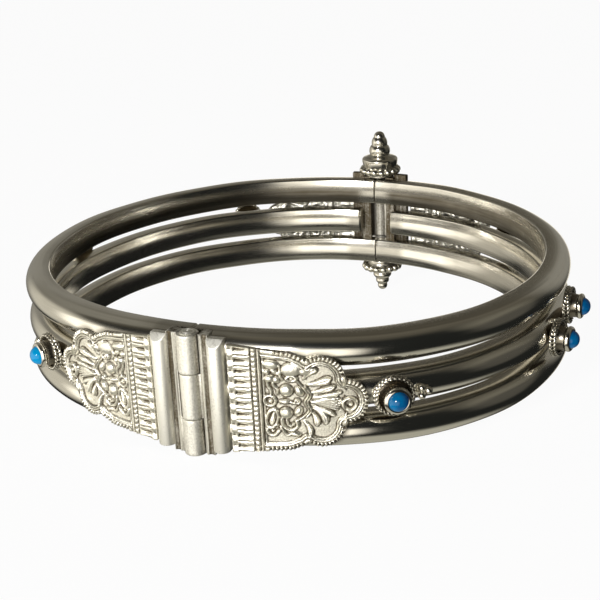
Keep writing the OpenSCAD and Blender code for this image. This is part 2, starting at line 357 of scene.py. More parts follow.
class Workpiece:
    """Grids of points in the ring's frame, gathered into one mesh.

    Each point carries how dark it is, which is patina in the relief's hollows and, on some
    pieces, painted shade, and its place along the rolled or drawn metal, for the polishing lines.
    """

    MERGE = 2e-7

    def __init__(self, name: str, ring: RingFrame) -> None:
        """Starts an empty piece.

        Args:
            name: The piece's name.
            ring: The ring's frame.
        """
        self.name = name
        self.ring = ring
        self._points: list[Array] = []
        self._darkening: list[Array] = []
        self._path: list[Array] = []
        self._faces: list[list[int]] = []
        self._count = 0

    def grid(
        self,
        points: Array,
        hollow: Array | float = 0.0,
        path: Array | None = None,
        round_u: bool = False,
        round_v: bool = False,
    ) -> Array:
        """Adds a grid of quads.

        Args:
            points: Points, shaped rows by columns by three.
            hollow: How dark a point is, from 0 on a crest to 1 deep in the relief; on some pieces it is
                painted shade.
            path: Place along the metal, three numbers a point. Left out, it is the point.
            round_u: Whether the last row joins the first.
            round_v: Whether the last column joins the first.

        Returns:
            The points' numbers in the mesh, shaped rows by columns.
        """
        rows, columns = points.shape[:2]
        ids = np.arange(rows * columns).reshape(rows, columns) + self._count
        self._count += rows * columns
        self._points.append(points.reshape(-1, 3))
        self._darkening.append(np.broadcast_to(hollow, (rows, columns)).reshape(-1))
        self._path.append((points if path is None else path).reshape(-1, 3))
        u = np.concatenate([ids, ids[:1]]) if round_u else ids
        self._faces.extend(quads(np.concatenate([u, u[:, :1]], axis=1) if round_v else u))
        return ids

    def sew(self, fine: Array, coarse: Array) -> None:
        """Joins an edge to one with half as many steps, by five-sided faces."""
        loops = np.stack([fine[:-2:2], fine[1:-1:2], fine[2::2], coarse[1:], coarse[:-1]], axis=1)
        self._faces.extend(loops.tolist())

    def finish(
        self,
        material: bpy.types.Material,
        body: str,
        replaces: str,
        crease: float = 38.0,
    ) -> None:
        """Makes the object: poles and seams merged, faces turned outwards, smooth but for creases.

        Args:
            material: The piece's finish.
            body: The body that it rides on.
            replaces: The frame's node that it stands for.
            crease: Angle in degrees past which an edge is sharp.
        """
        mesh = bpy.data.meshes.new(self.name)
        points = self.ring.to_part(np.concatenate(self._points))
        mesh.from_pydata(points, [], self._faces)
        hollow = mesh.attributes.new("hollow", "FLOAT", "POINT")
        hollow.data.foreach_set("value", np.concatenate(self._darkening).astype(np.float32))
        path = mesh.attributes.new("path", "FLOAT_VECTOR", "POINT")
        path.data.foreach_set("vector", np.concatenate(self._path).astype(np.float32).ravel())
        shell = bmesh.new()
        shell.from_mesh(mesh)
        bmesh.ops.remove_doubles(shell, verts=shell.verts, dist=self.MERGE)
        bmesh.ops.recalc_face_normals(shell, faces=shell.faces)
        shell.to_mesh(mesh)
        shell.free()
        mesh.shade_smooth()
        mesh.set_sharp_from_angle(angle=math.radians(crease))
        mesh.materials.append(material)
        piece = bpy.data.objects.new(self.name, mesh)
        bpy.context.scene.collection.objects.link(piece)
        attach(piece, body)
        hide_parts(replaces)
        log.info("%s: %d faces on %s", self.name, len(mesh.polygons), body)


def inset(section: Array, depth: float) -> Array:
    """A closed section moved inwards: each point less the depth times its outward normal.

    Args:
        section: Counter-clockwise points, shaped count by two.
        depth: How far they move.

    Returns:
        The moved points.
    """
    tangent = np.roll(section, -1, axis=0) - np.roll(section, 1, axis=0)
    tangent /= np.linalg.norm(tangent, axis=1, keepdims=True)
    return section - depth * np.stack([tangent[:, 1], -tangent[:, 0]], axis=1)


def rounded_box(low: Pair, high: Pair, radius: float) -> Array:
    """Section of a bar: a box with quarter-round corners.

    Args:
        low: Lowest corner.
        high: Highest corner.
        radius: Radius of the corners.

    Returns:
        Counter-clockwise points, shaped count by two.
    """
    turn = quarter_turn(5)
    inner_low = np.array(low) + radius
    inner_high = np.array(high) - radius
    corners = [inner_high, (inner_low[0], inner_high[1]), inner_low, (inner_high[0], inner_low[1])]
    arcs = []
    for quarter, corner in enumerate(corners):
        angle = turn + quarter * math.pi / 2
        arcs.append(np.array(corner) + radius * np.stack([np.cos(angle), np.sin(angle)], axis=1))
    return np.concatenate(arcs)


BAR_EDGE_ROWS = 4


def bar(section: Array, low: float, high: float, edge: float) -> Array:
    """A section carried straight up, with rounded edges and a pole in the middle of each end.

    Args:
        section: Closed section, shaped count by two.
        low: Height of the lower end.
        high: Height of the upper end.
        edge: Radius of the rounded edges.

    Returns:
        Points, shaped rows by count by three.
    """
    turn = quarter_turn(BAR_EDGE_ROWS)
    depth = edge * (1 - np.sin(turn))
    rise = edge * (1 - np.cos(turn))
    depths = np.concatenate([depth, depth[::-1]])
    heights = np.concatenate([low + rise, (high - rise)[::-1]])
    rows = [np.column_stack([inset(section, d), np.full(len(section), h)])
            for d, h in zip(depths, heights)]
    middle = section.mean(axis=0)
    for where, height in ((0, low), (len(rows) + 1, high)):
        rows.insert(where, np.broadcast_to([*middle, height], rows[1].shape))
    return np.stack(rows)


def turned(profile: Array, around: int) -> tuple[Array, Array, Array]:
    """A profile turned about an axis: radius times cosine and sine of the turn.

    Args:
        profile: Radius and height of each point.
        around: Steps around the axis.

    Returns:
        Two distances across the axis and one along it, each shaped profile by around.
    """
    turn = full_turn(around)
    radius, height = profile[:, :1], profile[:, 1:]
    return radius * np.cos(turn), radius * np.sin(turn), height + 0 * turn


def smooth_profile(points: Array, steps: int) -> Array:
    """A profile through the points, rounded as a Catmull-Rom curve.

    Args:
        points: Radius and height of each point.
        steps: Points on each stretch.

    Returns:
        Points along the curve.
    """
    padded = np.concatenate([points[:1], points, points[-1:]])
    t = np.linspace(0, 1, steps, endpoint=False)[None, :, None]
    p0, p1, p2, p3 = (padded[i:len(padded) - 3 + i, None] for i in range(4))
    curve = (
        2 * p1 + (p2 - p0) * t + (2 * p0 - 5 * p1 + 4 * p2 - p3) * t**2
        + (3 * p1 - p0 - 3 * p2 + p3) * t**3
    ) / 2
    return np.concatenate([curve.reshape(-1, points.shape[1]), points[-1:]])


def ball(radius: float, across: int) -> tuple[Array, Array, Array]:
    """A sphere, as three distances from its middle, with a pole at each end."""
    turn = np.linspace(-math.pi / 2, math.pi / 2, across // 2 + 1)
    return turned(np.column_stack([radius * np.cos(turn), radius * np.sin(turn)]), across)


class Socket:
    """An output socket that takes part in sums: an expression adds its Math nodes."""

    def __init__(self, shader: "Shader", output: bpy.types.NodeSocket) -> None:
        """Wraps one output."""
        self.shader = shader
        self.output = output

    def _math(self, operation: str, first: Any, second: Any) -> "Socket":
        """Adds one Math node."""
        return self.shader.add("ShaderNodeMath", {"operation": operation}, {0: first, 1: second})

    def __add__(self, other: Any) -> "Socket":
        """Sum."""
        return self._math("ADD", self, other)

    __radd__ = __add__

    def __sub__(self, other: Any) -> "Socket":
        """Difference."""
        return self._math("SUBTRACT", self, other)

    def __rsub__(self, other: Any) -> "Socket":
        """Difference from a number."""
        return self._math("SUBTRACT", other, self)

    def __mul__(self, other: Any) -> "Socket":
        """Product."""
        return self._math("MULTIPLY", self, other)

    __rmul__ = __mul__

    def step(self, low: float, high: float) -> "Socket":
        """Smooth step from 0 at low to 1 at high.

        Args:
            low: Value at which it is 0. It may be the larger one.
            high: Value at which it is 1.

        Returns:
            The step.
        """
        return self.shader.add(
            "ShaderNodeMapRange",
            {"interpolation_type": "SMOOTHSTEP"},
            {"Value": self, "From Min": low, "From Max": high},
        )

    def clamped(self) -> "Socket":
        """The value held between 0 and 1."""
        return self.shader.add("ShaderNodeClamp", {}, {"Value": self})


class Shader:
    """The nodes of a material or a world."""

    def __init__(self, owner: bpy.types.Material | bpy.types.World) -> None:
        """Starts from an empty node tree.

        Args:
            owner: The material or world that the nodes belong to.
        """
        owner.use_nodes = True
        self.tree = owner.node_tree
        self.tree.nodes.clear()

    def add(
        self,
        kind: str,
        settings: dict[str, Any] | None = None,
        sockets: dict[str | int, Any] | None = None,
        output: str | int = 0,
    ) -> Socket | None:
        """Adds any node.

        Args:
            kind: The node's type.
            settings: Its properties, which are set first.
            sockets: Values or links of its inputs.
            output: The output that is returned.

        Returns:
            That output, or None from a node that has none.
        """
        node = self.tree.nodes.new(kind)
        for name, value in (settings or {}).items():
            setattr(node, name, value)
        for name, value in (sockets or {}).items():
            if isinstance(value, Socket):
                self.tree.links.new(value.output, node.inputs[name])
            else:
                node.inputs[name].default_value = value
        return Socket(self, node.outputs[output]) if node.outputs else None

    def millimetres(self) -> Socket:
        """Object coordinates in millimetres."""
        where = self.add("ShaderNodeTexCoord", output="Object")
        return self.add("ShaderNodeVectorMath", {"operation": "SCALE"}, {0: where, "Scale": 1 / MM})

    def attribute(self, name: str, output: str = "Fac") -> Socket:
        """An attribute of the mesh."""
        return self.add("ShaderNodeAttribute", {"attribute_name": name}, output=output)

    def noise(self, where: Socket, scale: float, detail: float, rough: float = 0.5) -> Socket:
        """Noise in three dimensions.

        Args:
            where: Coordinates in millimetres.
            scale: Features per millimetre.
            detail: Finer layers that are added.
            rough: Share of each layer in the next.

        Returns:
            The noise, about 0.5.
        """
        return self.add(
            "ShaderNodeTexNoise",
            {},
            {"Vector": where, "Scale": scale, "Detail": detail, "Roughness": rough},
        )

    def stretched(self, where: Socket, scale: tuple[float, float, float]) -> Socket:
        """Coordinates scaled apart in three directions."""
        return self.add("ShaderNodeMapping", {}, {"Vector": where, "Scale": scale})

    def blend(self, factor: Socket | float, first: Any, second: Any) -> Socket:
        """Mix of two colours.

        Args:
            factor: Share of the second.
            first: Colour or socket.
            second: Colour or socket.

        Returns:
            The mixed colour.
        """
        ends = [(*c, 1) if isinstance(c, tuple) else c for c in (first, second)]
        return self.add(
            "ShaderNodeMix",
            {"data_type": "RGBA", "clamp_factor": True},
            {0: factor, 6: ends[0], 7: ends[1]},
            output=2,
        )

    def bump(self, height: Socket) -> Socket:
        """Normal of a fine relief, whose height is in millimetres."""
        return self.add("ShaderNodeBump", {}, {"Height": height, "Distance": MM, "Strength": 1.0})

    def surface(self, sockets: dict[str | int, Any]) -> None:
        """Ends the material in a Principled shader."""
        skin = self.add("ShaderNodeBsdfPrincipled", {}, sockets)
        self.add("ShaderNodeOutputMaterial", {}, {"Surface": skin})


@dataclass(frozen=True)
class SilverFinish:
    """Low-grade silver: polished on its crests, tarnished in its hollows.

    Roughness runs from polish on a crest to matt deep in the relief. Grain is the fine cast or
    stamped texture, and lines are the polishing lines along the metal. The dark end that the colour
    runs to stands for patina and, on some pieces, for painted shade.
    """

    name: str
    tone: Colour
    tarnish: Colour
    polish: float
    matt: float
    clouds_per_mm: float = 0.35
    grain_per_mm: float = 5.0
    grain_depth: float = 0.0
    line_depth: float = 0.0
    line_scale: tuple[float, float, float] = (0.08, 2.2, 2.2)
    cloud_rough: float = 0.05
    cloud_tarnish: float = 0.15
    line_tarnish: float = 0.0
    grain_tarnish: float = 0.0

    def material(self) -> bpy.types.Material:
        """Builds the finish's nodes.

        Returns:
            The material.
        """
        material = bpy.data.materials.new(self.name)
        shader = Shader(material)
        place = shader.millimetres()
        cloud = shader.noise(place, self.clouds_per_mm, 4.0)
        grain = shader.noise(place, self.grain_per_mm, 3.0, 0.6)
        lines = shader.noise(
            shader.stretched(shader.attribute("path", "Vector"), self.line_scale), 1.0, 3.0, 0.6
        )
        darkened = (cloud - 0.5) * self.cloud_tarnish + (lines - 0.5) * self.line_tarnish
        darkened = darkened + (grain - 0.5) * self.grain_tarnish
        # The darkening attribute brings patina and, on some pieces, painted shade.
        dark_share = (shader.attribute("hollow") + darkened).clamped()
        colour = shader.blend(dark_share, self.tone, self.tarnish)
        rough = self.polish + dark_share * (self.matt - self.polish) + (cloud - 0.5) * self.cloud_rough
        rough = rough + (lines - 0.5) * self.cloud_rough
        relief = grain * self.grain_depth + lines * self.line_depth
        shader.surface({
            "Base Color": colour,
            "Metallic": 1.0,
            "Roughness": rough.clamped(),
            "Normal": shader.bump(relief),
        })
        return material


@dataclass(frozen=True)
class StoneFinish:
    """Polished turquoise under a glassy coat: blue, clouded and speckled.

    The stone's darkening attribute is painted shade, from pale at 0 to deep at 1.
    """

    name: str
    deep: Colour
    bright: Colour
    roughness: float
    clouds_per_mm: float = 0.9
    speckles_per_mm: float = 6.0
    paleness: float = 0.7
    clouding: float = 0.6
    speckling: float = 0.2
    coat: float = 0.25

    def material(self) -> bpy.types.Material:
        """Builds the finish's nodes.

        Returns:
            The material.
        """
        material = bpy.data.materials.new(self.name)
        shader = Shader(material)
        place = shader.millimetres()
        cloud = shader.noise(place, self.clouds_per_mm, 3.0)
        speckle = shader.noise(place, self.speckles_per_mm, 2.0)
        pale = self.paleness - shader.attribute("hollow")
        mixed = (pale + cloud * self.clouding + speckle * self.speckling).clamped()
        shader.surface({
            "Base Color": shader.blend(mixed, self.deep, self.bright),
            "Roughness": speckle * 0.05 + self.roughness,
            "Specular IOR Level": 0.25,
            "Coat Weight": self.coat,
            "Coat Roughness": 0.05,
            "IOR": 1.5,
        })
        return material


@dataclass(frozen=True)
class Finishes:
    """The materials of all pieces."""

    rails: bpy.types.Material
    ends: bpy.types.Material
    plates: bpy.types.Material
    settings: bpy.types.Material
    finials: bpy.types.Material
    stones: bpy.types.Material

    @classmethod
    def made(cls) -> "Finishes":
        """Makes every finish once.

        Returns:
            The finishes.
        """
        silver = (0.86, 0.83, 0.75)
        brown = (0.11, 0.088, 0.055)
        return cls(
            rails=SilverFinish(
                "polished_rails", silver, (0.10, 0.085, 0.06), 0.15, 0.32, line_tarnish=0.35,
                grain_depth=0.0004, line_depth=0.012, cloud_rough=0.08,
            ).material(),
            ends=SilverFinish(
                "satin_ends", (0.96, 0.94, 0.86), brown, 0.54, 0.64,
                grain_depth=0.018, line_depth=0.014, line_scale=(2.6, 2.6, 0.14),
                cloud_rough=0.12, cloud_tarnish=0.5, line_tarnish=1.1, grain_tarnish=0.9,
            ).material(),
            plates=SilverFinish(
                "stamped_plates", (0.97, 0.94, 0.83), (0.09, 0.068, 0.04), 0.36, 0.64,
                grain_per_mm=5.5, grain_depth=0.055, cloud_rough=0.10, cloud_tarnish=0.35,
                grain_tarnish=1.2,
            ).material(),
            settings=SilverFinish(
                "roped_settings", silver, brown, 0.12, 0.30, grain_depth=0.003,
            ).material(),
            finials=SilverFinish(
                "turned_finials", (0.80, 0.77, 0.69), brown, 0.16, 0.45, grain_depth=0.003,
            ).material(),
            stones=StoneFinish("turquoise", (0.0, 0.03, 0.11), (0.0, 0.21, 0.43), 0.10).material(),
        )


@dataclass(frozen=True)
class EndSizes:
    """Sizes at the ends of a half that its rails and its fittings share, from the seam."""

    leaf_gap: float = 0.1
    leaf_reach: float = 2.4
    leaf_back: float = -1.6
    rib_place: float = 3.25
    rib_width: float = 1.9
    rib_back: float = -0.6

    @property
    def rib_far(self) -> float:
        """Distance from the seam to the far side of the rib."""
        return self.rib_place + self.rib_width / 2


ENDS = EndSizes()

# Depth of the painted shade on each rail's inner face, and how far from the clasp it stays away.
INNER_SHADE = {Level.UPPER: (0.9, 0), Level.MIDDLE: (0.22, 12), Level.LOWER: (0.36, 12)}

# Distance from the hinge that the painted shade on a rail's flat top reaches; it dims the tops'
# reflection.
TOP_SHADE_REACH = {Side.LEFT: 7, Side.RIGHT: 48}


@dataclass(frozen=True)
class Rails:
    """Three rails of each half: round outside, flat above and below, nearly flat inside.

    At each end the upper and lower rails pass behind the leaf to the seam, and the middle one
    stops at the leaf. All are cut back under the ribs.
    """

    ring: RingFrame
    outline: Outline
    plates: "Plates"
    height: float = 3.5
    depth: float = 3.3
    inner_face_radius: float = 5.0
    corner_radius: float = 0.25
    pitch: float = 4.55
    along: int = 420
    seam_gap: float = 0.05
    seam_round: float = 0.22
    end_round: float = 0.5
    even_end: float = 6.0
    sway: float = 0.035
    ripple: float = 0.02
    # Darker within about 5 mm of each end.
    end_darkening: float = 0.45
    end_span: Pair = (5.2, 4.0)
    # Painted shade on the inner face, where the ring shades its own inside.
    inner_from: float = -2.6
    inner_span: Pair = (18.0, 30.0)
    # Painted shade that dims the reflection on the flat tops.
    top_shade: float = 0.42
    top_height: float = 1.45
    top_from: float = -0.9
    top_fade: float = 6.0
    # Painted shadow on the rails round the plates' edges.
    plate_shadow: float = 0.74
    plate_back: float = -1.9

    def inner_face(self, height: Array | float) -> Array:
        """Offset of the inner face, an arc that bulges inwards, at a height above its middle."""
        radius = self.inner_face_radius
        return radius - self.depth - np.sqrt(radius**2 - height**2)

    def section(self) -> Array:
        """Section of the bar: a half circle outside, small corners and the inner arc.

        Returns:
            Closed counter-clockwise points, offset and height of each.
        """
        radius, corner = self.height / 2, self.corner_radius
        front = np.linspace(-math.pi / 2, math.pi / 2, 25)
        outside = radius * np.stack([np.cos(front) - 1, np.sin(front)], axis=1)
        shoulder = radius - corner
        bend = math.pi / 2 + quarter_turn(6)
        middle = [self.inner_face(shoulder) + corner, shoulder]
        top = middle + corner * np.stack([np.cos(bend), np.sin(bend)], axis=1)
        heights = np.linspace(shoulder, -shoulder, 9)[1:-1]
        inside = np.stack([self.inner_face(heights), heights], axis=1)
        return np.concatenate([outside, top, inside, (top * [1, -1])[::-1]])

    def stations(self, level: Level) -> tuple[Array, Array, Array]:
        """Rows of a half rail from the hinge to the clasp: a rounded end, then the long run.

        Args:
            level: The rail's place in the stack.

        Returns:
            Distance from the hinge, furthest offset, and share of the section's size.
        """
        at_leaf = level is Level.MIDDLE
        first = ENDS.leaf_reach if at_leaf else self.seam_gap
        edge = self.end_round if at_leaf else self.seam_round
        turn = quarter_turn(6)
        rounded = first + edge * (1 - np.cos(turn))
        growing = 1 - edge * (1 - np.sin(turn)) / (self.height / 2)
        behind_leaf = np.linspace(first + edge + 0.1, ENDS.leaf_reach, 0 if at_leaf else 4)
        leaf_rows = np.concatenate([[first], rounded, behind_leaf])
        leaf_limit = ENDS.rib_back if at_leaf else ENDS.leaf_back
        under_rib = np.linspace(max(ENDS.leaf_reach, leaf_rows[-1]), ENDS.rib_far, 5)
        run = np.linspace(ENDS.rib_far, self.outline.length - ENDS.rib_far, self.along)
        rows = np.concatenate([leaf_rows, under_rib])
        limits = np.where(np.arange(len(rows)) < len(leaf_rows), leaf_limit, ENDS.rib_back)
        sizes = np.ones(len(rows))
        sizes[:len(turn) + 1] = [0.0, *growing]
        whole = np.ones(len(run))
        return (
            np.concatenate([rows, run, (self.outline.length - rows)[::-1]]),
            np.concatenate([limits, whole, limits[::-1]]),
            np.concatenate([sizes, whole, sizes[::-1]]),
        )

    def wander(self, s: Array, z: float, side: Side) -> Array:
        """Slight hand-worked unevenness along a rail: a slow wave and a ripple, in millimetres."""
        phase = z + 1.7 * side.value
        return self.sway * np.sin(0.21 * s + phase) + self.ripple * np.sin(0.47 * s + 2.3 * phase)

    def tarnish(self, side: Side, level: Level, s: Array, up: Array) -> Array:
        """Darkening of a rail: near its ends, and painted shade inside, on top and round the plates.

        Args:
            side: The half.
            level: The rail's place in the stack.
            s: Distance from the hinge of each row.
            up: Height of each point.

        Returns:
            Depth of the tarnish at each point.
        """
        off, height = self.section().T
        from_clasp = self.outline.length - s
        # Darker within about 5 mm of each end.
        ends = self.end_darkening * ramp(np.minimum(s, from_clasp), *self.end_span)
        # Painted shade on the inner face.
        depth, clear = INNER_SHADE[level]
        inner = depth * ramp(s, *self.inner_span) * ramp(from_clasp, clear, clear + 3)
        inner = inner * (off < self.inner_from)
        # Painted shade on the upper rail's inner face, deeper lower down.
        if level is Level.UPPER:
            inner = inner * np.clip(1.1 - 0.6 * height, 0.3, 1)
        # Painted shade that dims the reflection on the flat tops.
        reach = TOP_SHADE_REACH[side]
        top = self.top_shade * ramp(s, reach, reach - self.top_fade)
        top = top * (height > self.top_height) * (off < self.top_from)
        # Painted shadow round the plates.
        plates = self.plate_shadow * self.plates.tarnish_round(s, up, side)
        plates = plates * (off > self.plate_back)
        return np.maximum(np.maximum(ends, inner), np.maximum(top, plates))

    def build(self, side: Side, level: Level, material: bpy.types.Material) -> None:
        """Builds one rail: its section at each row, shrunk at the ends about a core.

        Args:
            side: The half.
            level: The rail's place in the stack.
            material: Its finish.
        """
        section = self.section()
        off, rise = section.T
        s, limit, size = (row[:, None] for row in self.stations(level))
        behind_leaf = limit <= ENDS.leaf_back
        core = np.where(behind_leaf, (limit - self.depth) / 2, -self.height / 2)
        z = level.value * self.pitch
        off = core + (np.minimum(off + 0 * s, limit) - core) * size
        from_end = np.minimum(s, self.outline.length - s)
        fade = ramp(from_end, self.even_end, 2 * self.even_end)
        up = z + rise * size + fade * self.wander(s, z, side)
        off = off + 0.6 * fade * self.wander(s + 31, z, side)
        round_bar = np.cumsum(np.hypot(*np.diff(section, axis=0, prepend=section[-1:]).T))
        path = np.stack(np.broadcast_arrays(s, round_bar, z + 9.0 * side.value), axis=-1)
        name = f"{side.word}_{level.name.lower()}_rail"
        work = Workpiece(f"{name}_polished", self.ring)
        hollow = self.tarnish(side, level, s, up)
        work.grid(self.outline.at(s, off, up, side), hollow=hollow, path=path, round_v=True)
        work.finish(material, side.body, name)

    def build_all(self, material: bpy.types.Material) -> None:
        """Builds the six rails."""
        for side, level in product(Side, Level):
            self.build(side, level, material)


@dataclass(frozen=True)
class Barrel:
    """A barrel of three knuckles on one axis, with the ribs and the painted shade at its end."""

    radius: float
    bottom: float
    lower_joint: float
    upper_joint: float
    top: float
    rib_bottom: float
    rib_top: float
    # Painted shade on the end's inward faces, flanks and top; below 0 it only lessens the rib's
    # darkening.
    end_shade: float
    axis_depth: float = 0.28
    bore: float = 0.6
    gap: float = 0.1

    def knuckle(self, index: int) -> Pair:
        """Bottom and top of a knuckle, each half a gap from its joint.

        Args:
            index: The knuckle, counted from below.

        Returns:
            Heights of its two ends.
        """
        edges = (self.bottom, self.lower_joint, self.upper_joint, self.top)
        low = edges[index] + (self.gap / 2 if index > 0 else 0)
        high = edges[index + 1] - (self.gap / 2 if index < 2 else 0)
        return low, high


# The clasp, seen from inside the ring, gets deep painted shade on its fittings.
BARRELS = {
    End.HINGE: Barrel(1.22, -7.5, -3.3, 1.9, 6.3, rib_bottom=-6.8, rib_top=6.05, end_shade=-0.2),
    End.CLASP: Barrel(1.08, -6.4, -2.75, 2.75, 6.4, rib_bottom=-6.9, rib_top=6.75, end_shade=0.95),
}

# Knuckles that belong to each half, counted from below.
KNUCKLES = {Side.LEFT: (0, 2), Side.RIGHT: (1,)}


@dataclass(frozen=True)
class EndFittings:
    """Leaf, half-round rib and knuckles at each end of each half."""

    ring: RingFrame
    outline: Outline
    rib_crest: float = 0.15
    rib_bow: float = 0.03
    edge: float = 0.07
    leaf_edge: float = 0.05
    channel_tarnish: float = 0.9
    groove_tarnish: float = 0.8
    # Painted shade that dims the rib's top bevel.
    bevel_shade: float = 0.35
    web_tarnish: float = 0.5
    # Light staining on a knuckle, and painted shade on its flanks.
    stain_and_shade: Pair = (0.08, 0.55)
    flank: Pair = (0.72, 0.92)
    # Painted shade on one side of the right half's knuckle, by the joint.
    joint_flank: Pair = (0.6, 0.72)
    # Painted shade on a knuckle's inward side, as a share of the barrel's.
    knuckle_shade: float = 0.6
    pin_radius: float = 0.55

    def leaf_section(self, barrel: Barrel) -> Array:
        """Section of a leaf: a raised line beside the barrel, then a shallow channel.

        Args:
            barrel: The barrel that it stands beside.

        Returns:
            Closed points: distance from the seam, and offset.
        """
        near = barrel.radius + ENDS.leaf_gap
        far = ENDS.leaf_reach
        return np.array([
            [far, -0.02], [far - 0.07, 0.03], [far - 0.14, -0.05], [far - 0.22, -0.1],
            [near + 0.52, -0.1], [near + 0.42, -0.04], [near + 0.36, 0.07], [near + 0.27, 0.12],
            [near + 0.18, 0.07], [near + 0.1, -0.03], [near, -0.05],
            [near, ENDS.leaf_back], [far, ENDS.leaf_back],
        ])

    def add_leaf(self, work: Workpiece, side: Side, end: End) -> None:
        """Adds the leaf, its section carried up the height of the barrel.

        Args:
            work: The piece that it becomes part of.
            side: The half.
            end: The end of the half.
        """
        barrel = BARRELS[end]
        section = self.leaf_section(barrel)
        rows = bar(section, barrel.bottom, barrel.top, self.leaf_edge)
        heights = np.linspace(barrel.bottom + self.leaf_edge, barrel.top - self.leaf_edge, 60)
        body = np.stack([np.column_stack([section, np.full(len(section), h)]) for h in heights])
        below = BAR_EDGE_ROWS + 1
        rows = np.concatenate([rows[:below], body[1:-1], rows[below:]])
        points = self.outline.at_end(end, rows[..., 0], rows[..., 1], rows[..., 2], side)
        channel = np.zeros(len(section))
        channel[3:5] = self.channel_tarnish
        # Points 2 and 5 are grooves; 10 to 12, the leaf's side by the barrel, its back and far side,
        # are darkened like them.
        channel[[2, 5, 10, 11, 12]] = self.groove_tarnish
        # Painted shade on the leaf's top and inward faces, deep at the clasp.
        high = rows[..., 2] > barrel.top - 0.2
        darkened = barrel.end_shade * np.maximum(high, rows[..., 1] < -0.3)
        work.grid(points, hollow=np.maximum(channel, darkened), round_v=True)

    def add_rib(self, work: Workpiece, side: Side, end: End) -> None:
        """Adds the rib: a half-round bar whose upper end is cut back on a slope.

        Args:
            work: The piece that it becomes part of.
            side: The half.
            end: The end of the half.
        """
        barrel = BARRELS[end]
        half = ENDS.rib_width / 2
        turn = np.linspace(-math.pi / 2, math.pi / 2, 21)
        front = half * np.stack([np.cos(turn), np.sin(turn)], axis=1)
        section = np.concatenate([front, [[ENDS.rib_back, half], [ENDS.rib_back, -half]]])
        bottom, top = barrel.rib_bottom, barrel.rib_top
        rows = bar(section, bottom, top, self.edge)
        rows[-1, :, :2] = self.rib_crest, 0
        share = (rows[..., 2] - bottom) / (top - bottom)
        z = bottom + share * (np.minimum(top, top + self.rib_crest - rows[..., 0]) - bottom)
        place = self.outline.from_hinge(end, ENDS.rib_place + rows[..., 1])
        off = rows[..., 0] + self.rib_bow * np.sin(1.3 * z + side.value)
        # Painted shade that dims the top bevel, less at the hinge.
        bevel = self.bevel_shade * ramp(z, top - 0.4, top - 0.1) + min(barrel.end_shade, 0)
        # Painted shade on the rib's top, flanks and back, deep at the clasp.
        darkened = barrel.end_shade * np.maximum(z > top - 0.6, rows[..., 0] < 0.2)
        points = self.outline.at(place, off, z, side)
        work.grid(points, hollow=np.maximum(bevel, darkened), round_v=True)

    def knuckle_profile(self, barrel: Barrel, low: float, high: float) -> Array:
        """Profile of a bored tube: from the bore out round each rounded edge.

        Args:
            barrel: The barrel that the knuckle is part of.
            low: Height of its lower end.
            high: Height of its upper end.

        Returns:
            Radius and height of each point.
        """
        turn = quarter_turn(4)
        radius = barrel.radius - self.edge * (1 - np.sin(turn))
        rise = self.edge * (1 - np.cos(turn))
        side = np.linspace(low + 0.3, high - 0.3, 8)
        return np.concatenate([
            [[barrel.bore, low]],
            np.column_stack([radius, low + rise]),
            np.column_stack([np.full(len(side), barrel.radius), side]),
            np.column_stack([radius, high - rise])[::-1],
            [[barrel.bore, high]],
        ])

    def add_knuckle(self, work: Workpiece, side: Side, end: End, index: int) -> None:
        """Adds a knuckle, lightly stained and with painted shade on its flanks, and the web that joins
        it to its leaf.

        Args:
            work: The piece that they become part of.
            side: The half.
            end: The end of the half.
            index: The knuckle, counted from below.
        """
        barrel = BARRELS[end]
        low, high = barrel.knuckle(index)
        across, out, z = turned(self.knuckle_profile(barrel, low, high), 56)
        points = self.outline.at_end(end, across, out - barrel.axis_depth, z, side)
        share = across / barrel.radius
        # Light staining, and painted shade on the flanks.
        stain_and_shade = self.stain_and_shade[0] + self.stain_and_shade[1] * ramp(np.abs(share), *self.flank)
        # Painted shade on the joint side.
        if side is Side.RIGHT:
            stain_and_shade = np.maximum(stain_and_shade, ramp(-share, *self.joint_flank))
        # Painted shade on the inward side, deep at the clasp.
        hollow = np.maximum(stain_and_shade, self.knuckle_shade * barrel.end_shade * ramp(-out, 0, 0.3))
        work.grid(points, hollow=hollow, round_u=True, round_v=True)
        web = rounded_box(
            (0.8, -barrel.axis_depth - barrel.radius * 0.8),
            (barrel.radius + 2 * ENDS.leaf_gap, -barrel.axis_depth + barrel.radius * 0.3),
            self.leaf_edge,
        )
        rows = bar(web, low, high, self.edge)
        points = self.outline.at_end(end, rows[..., 0], rows[..., 1], rows[..., 2], side)
        work.grid(points, hollow=self.web_tarnish, round_v=True)

    def build(self, side: Side, end: End, material: bpy.types.Material) -> None:
        """Builds the fitting at one end of one half.

        Args:
            side: The half.
            end: The end of the half.
            material: Its finish.
        """
        name = f"{side.word}_{end.value}_end"
        work = Workpiece(f"{name}_satin", self.ring)
        self.add_leaf(work, side, end)
        self.add_rib(work, side, end)
        for index in KNUCKLES[side]:
            self.add_knuckle(work, side, end, index)
        work.finish(material, side.body, name, crease=32)

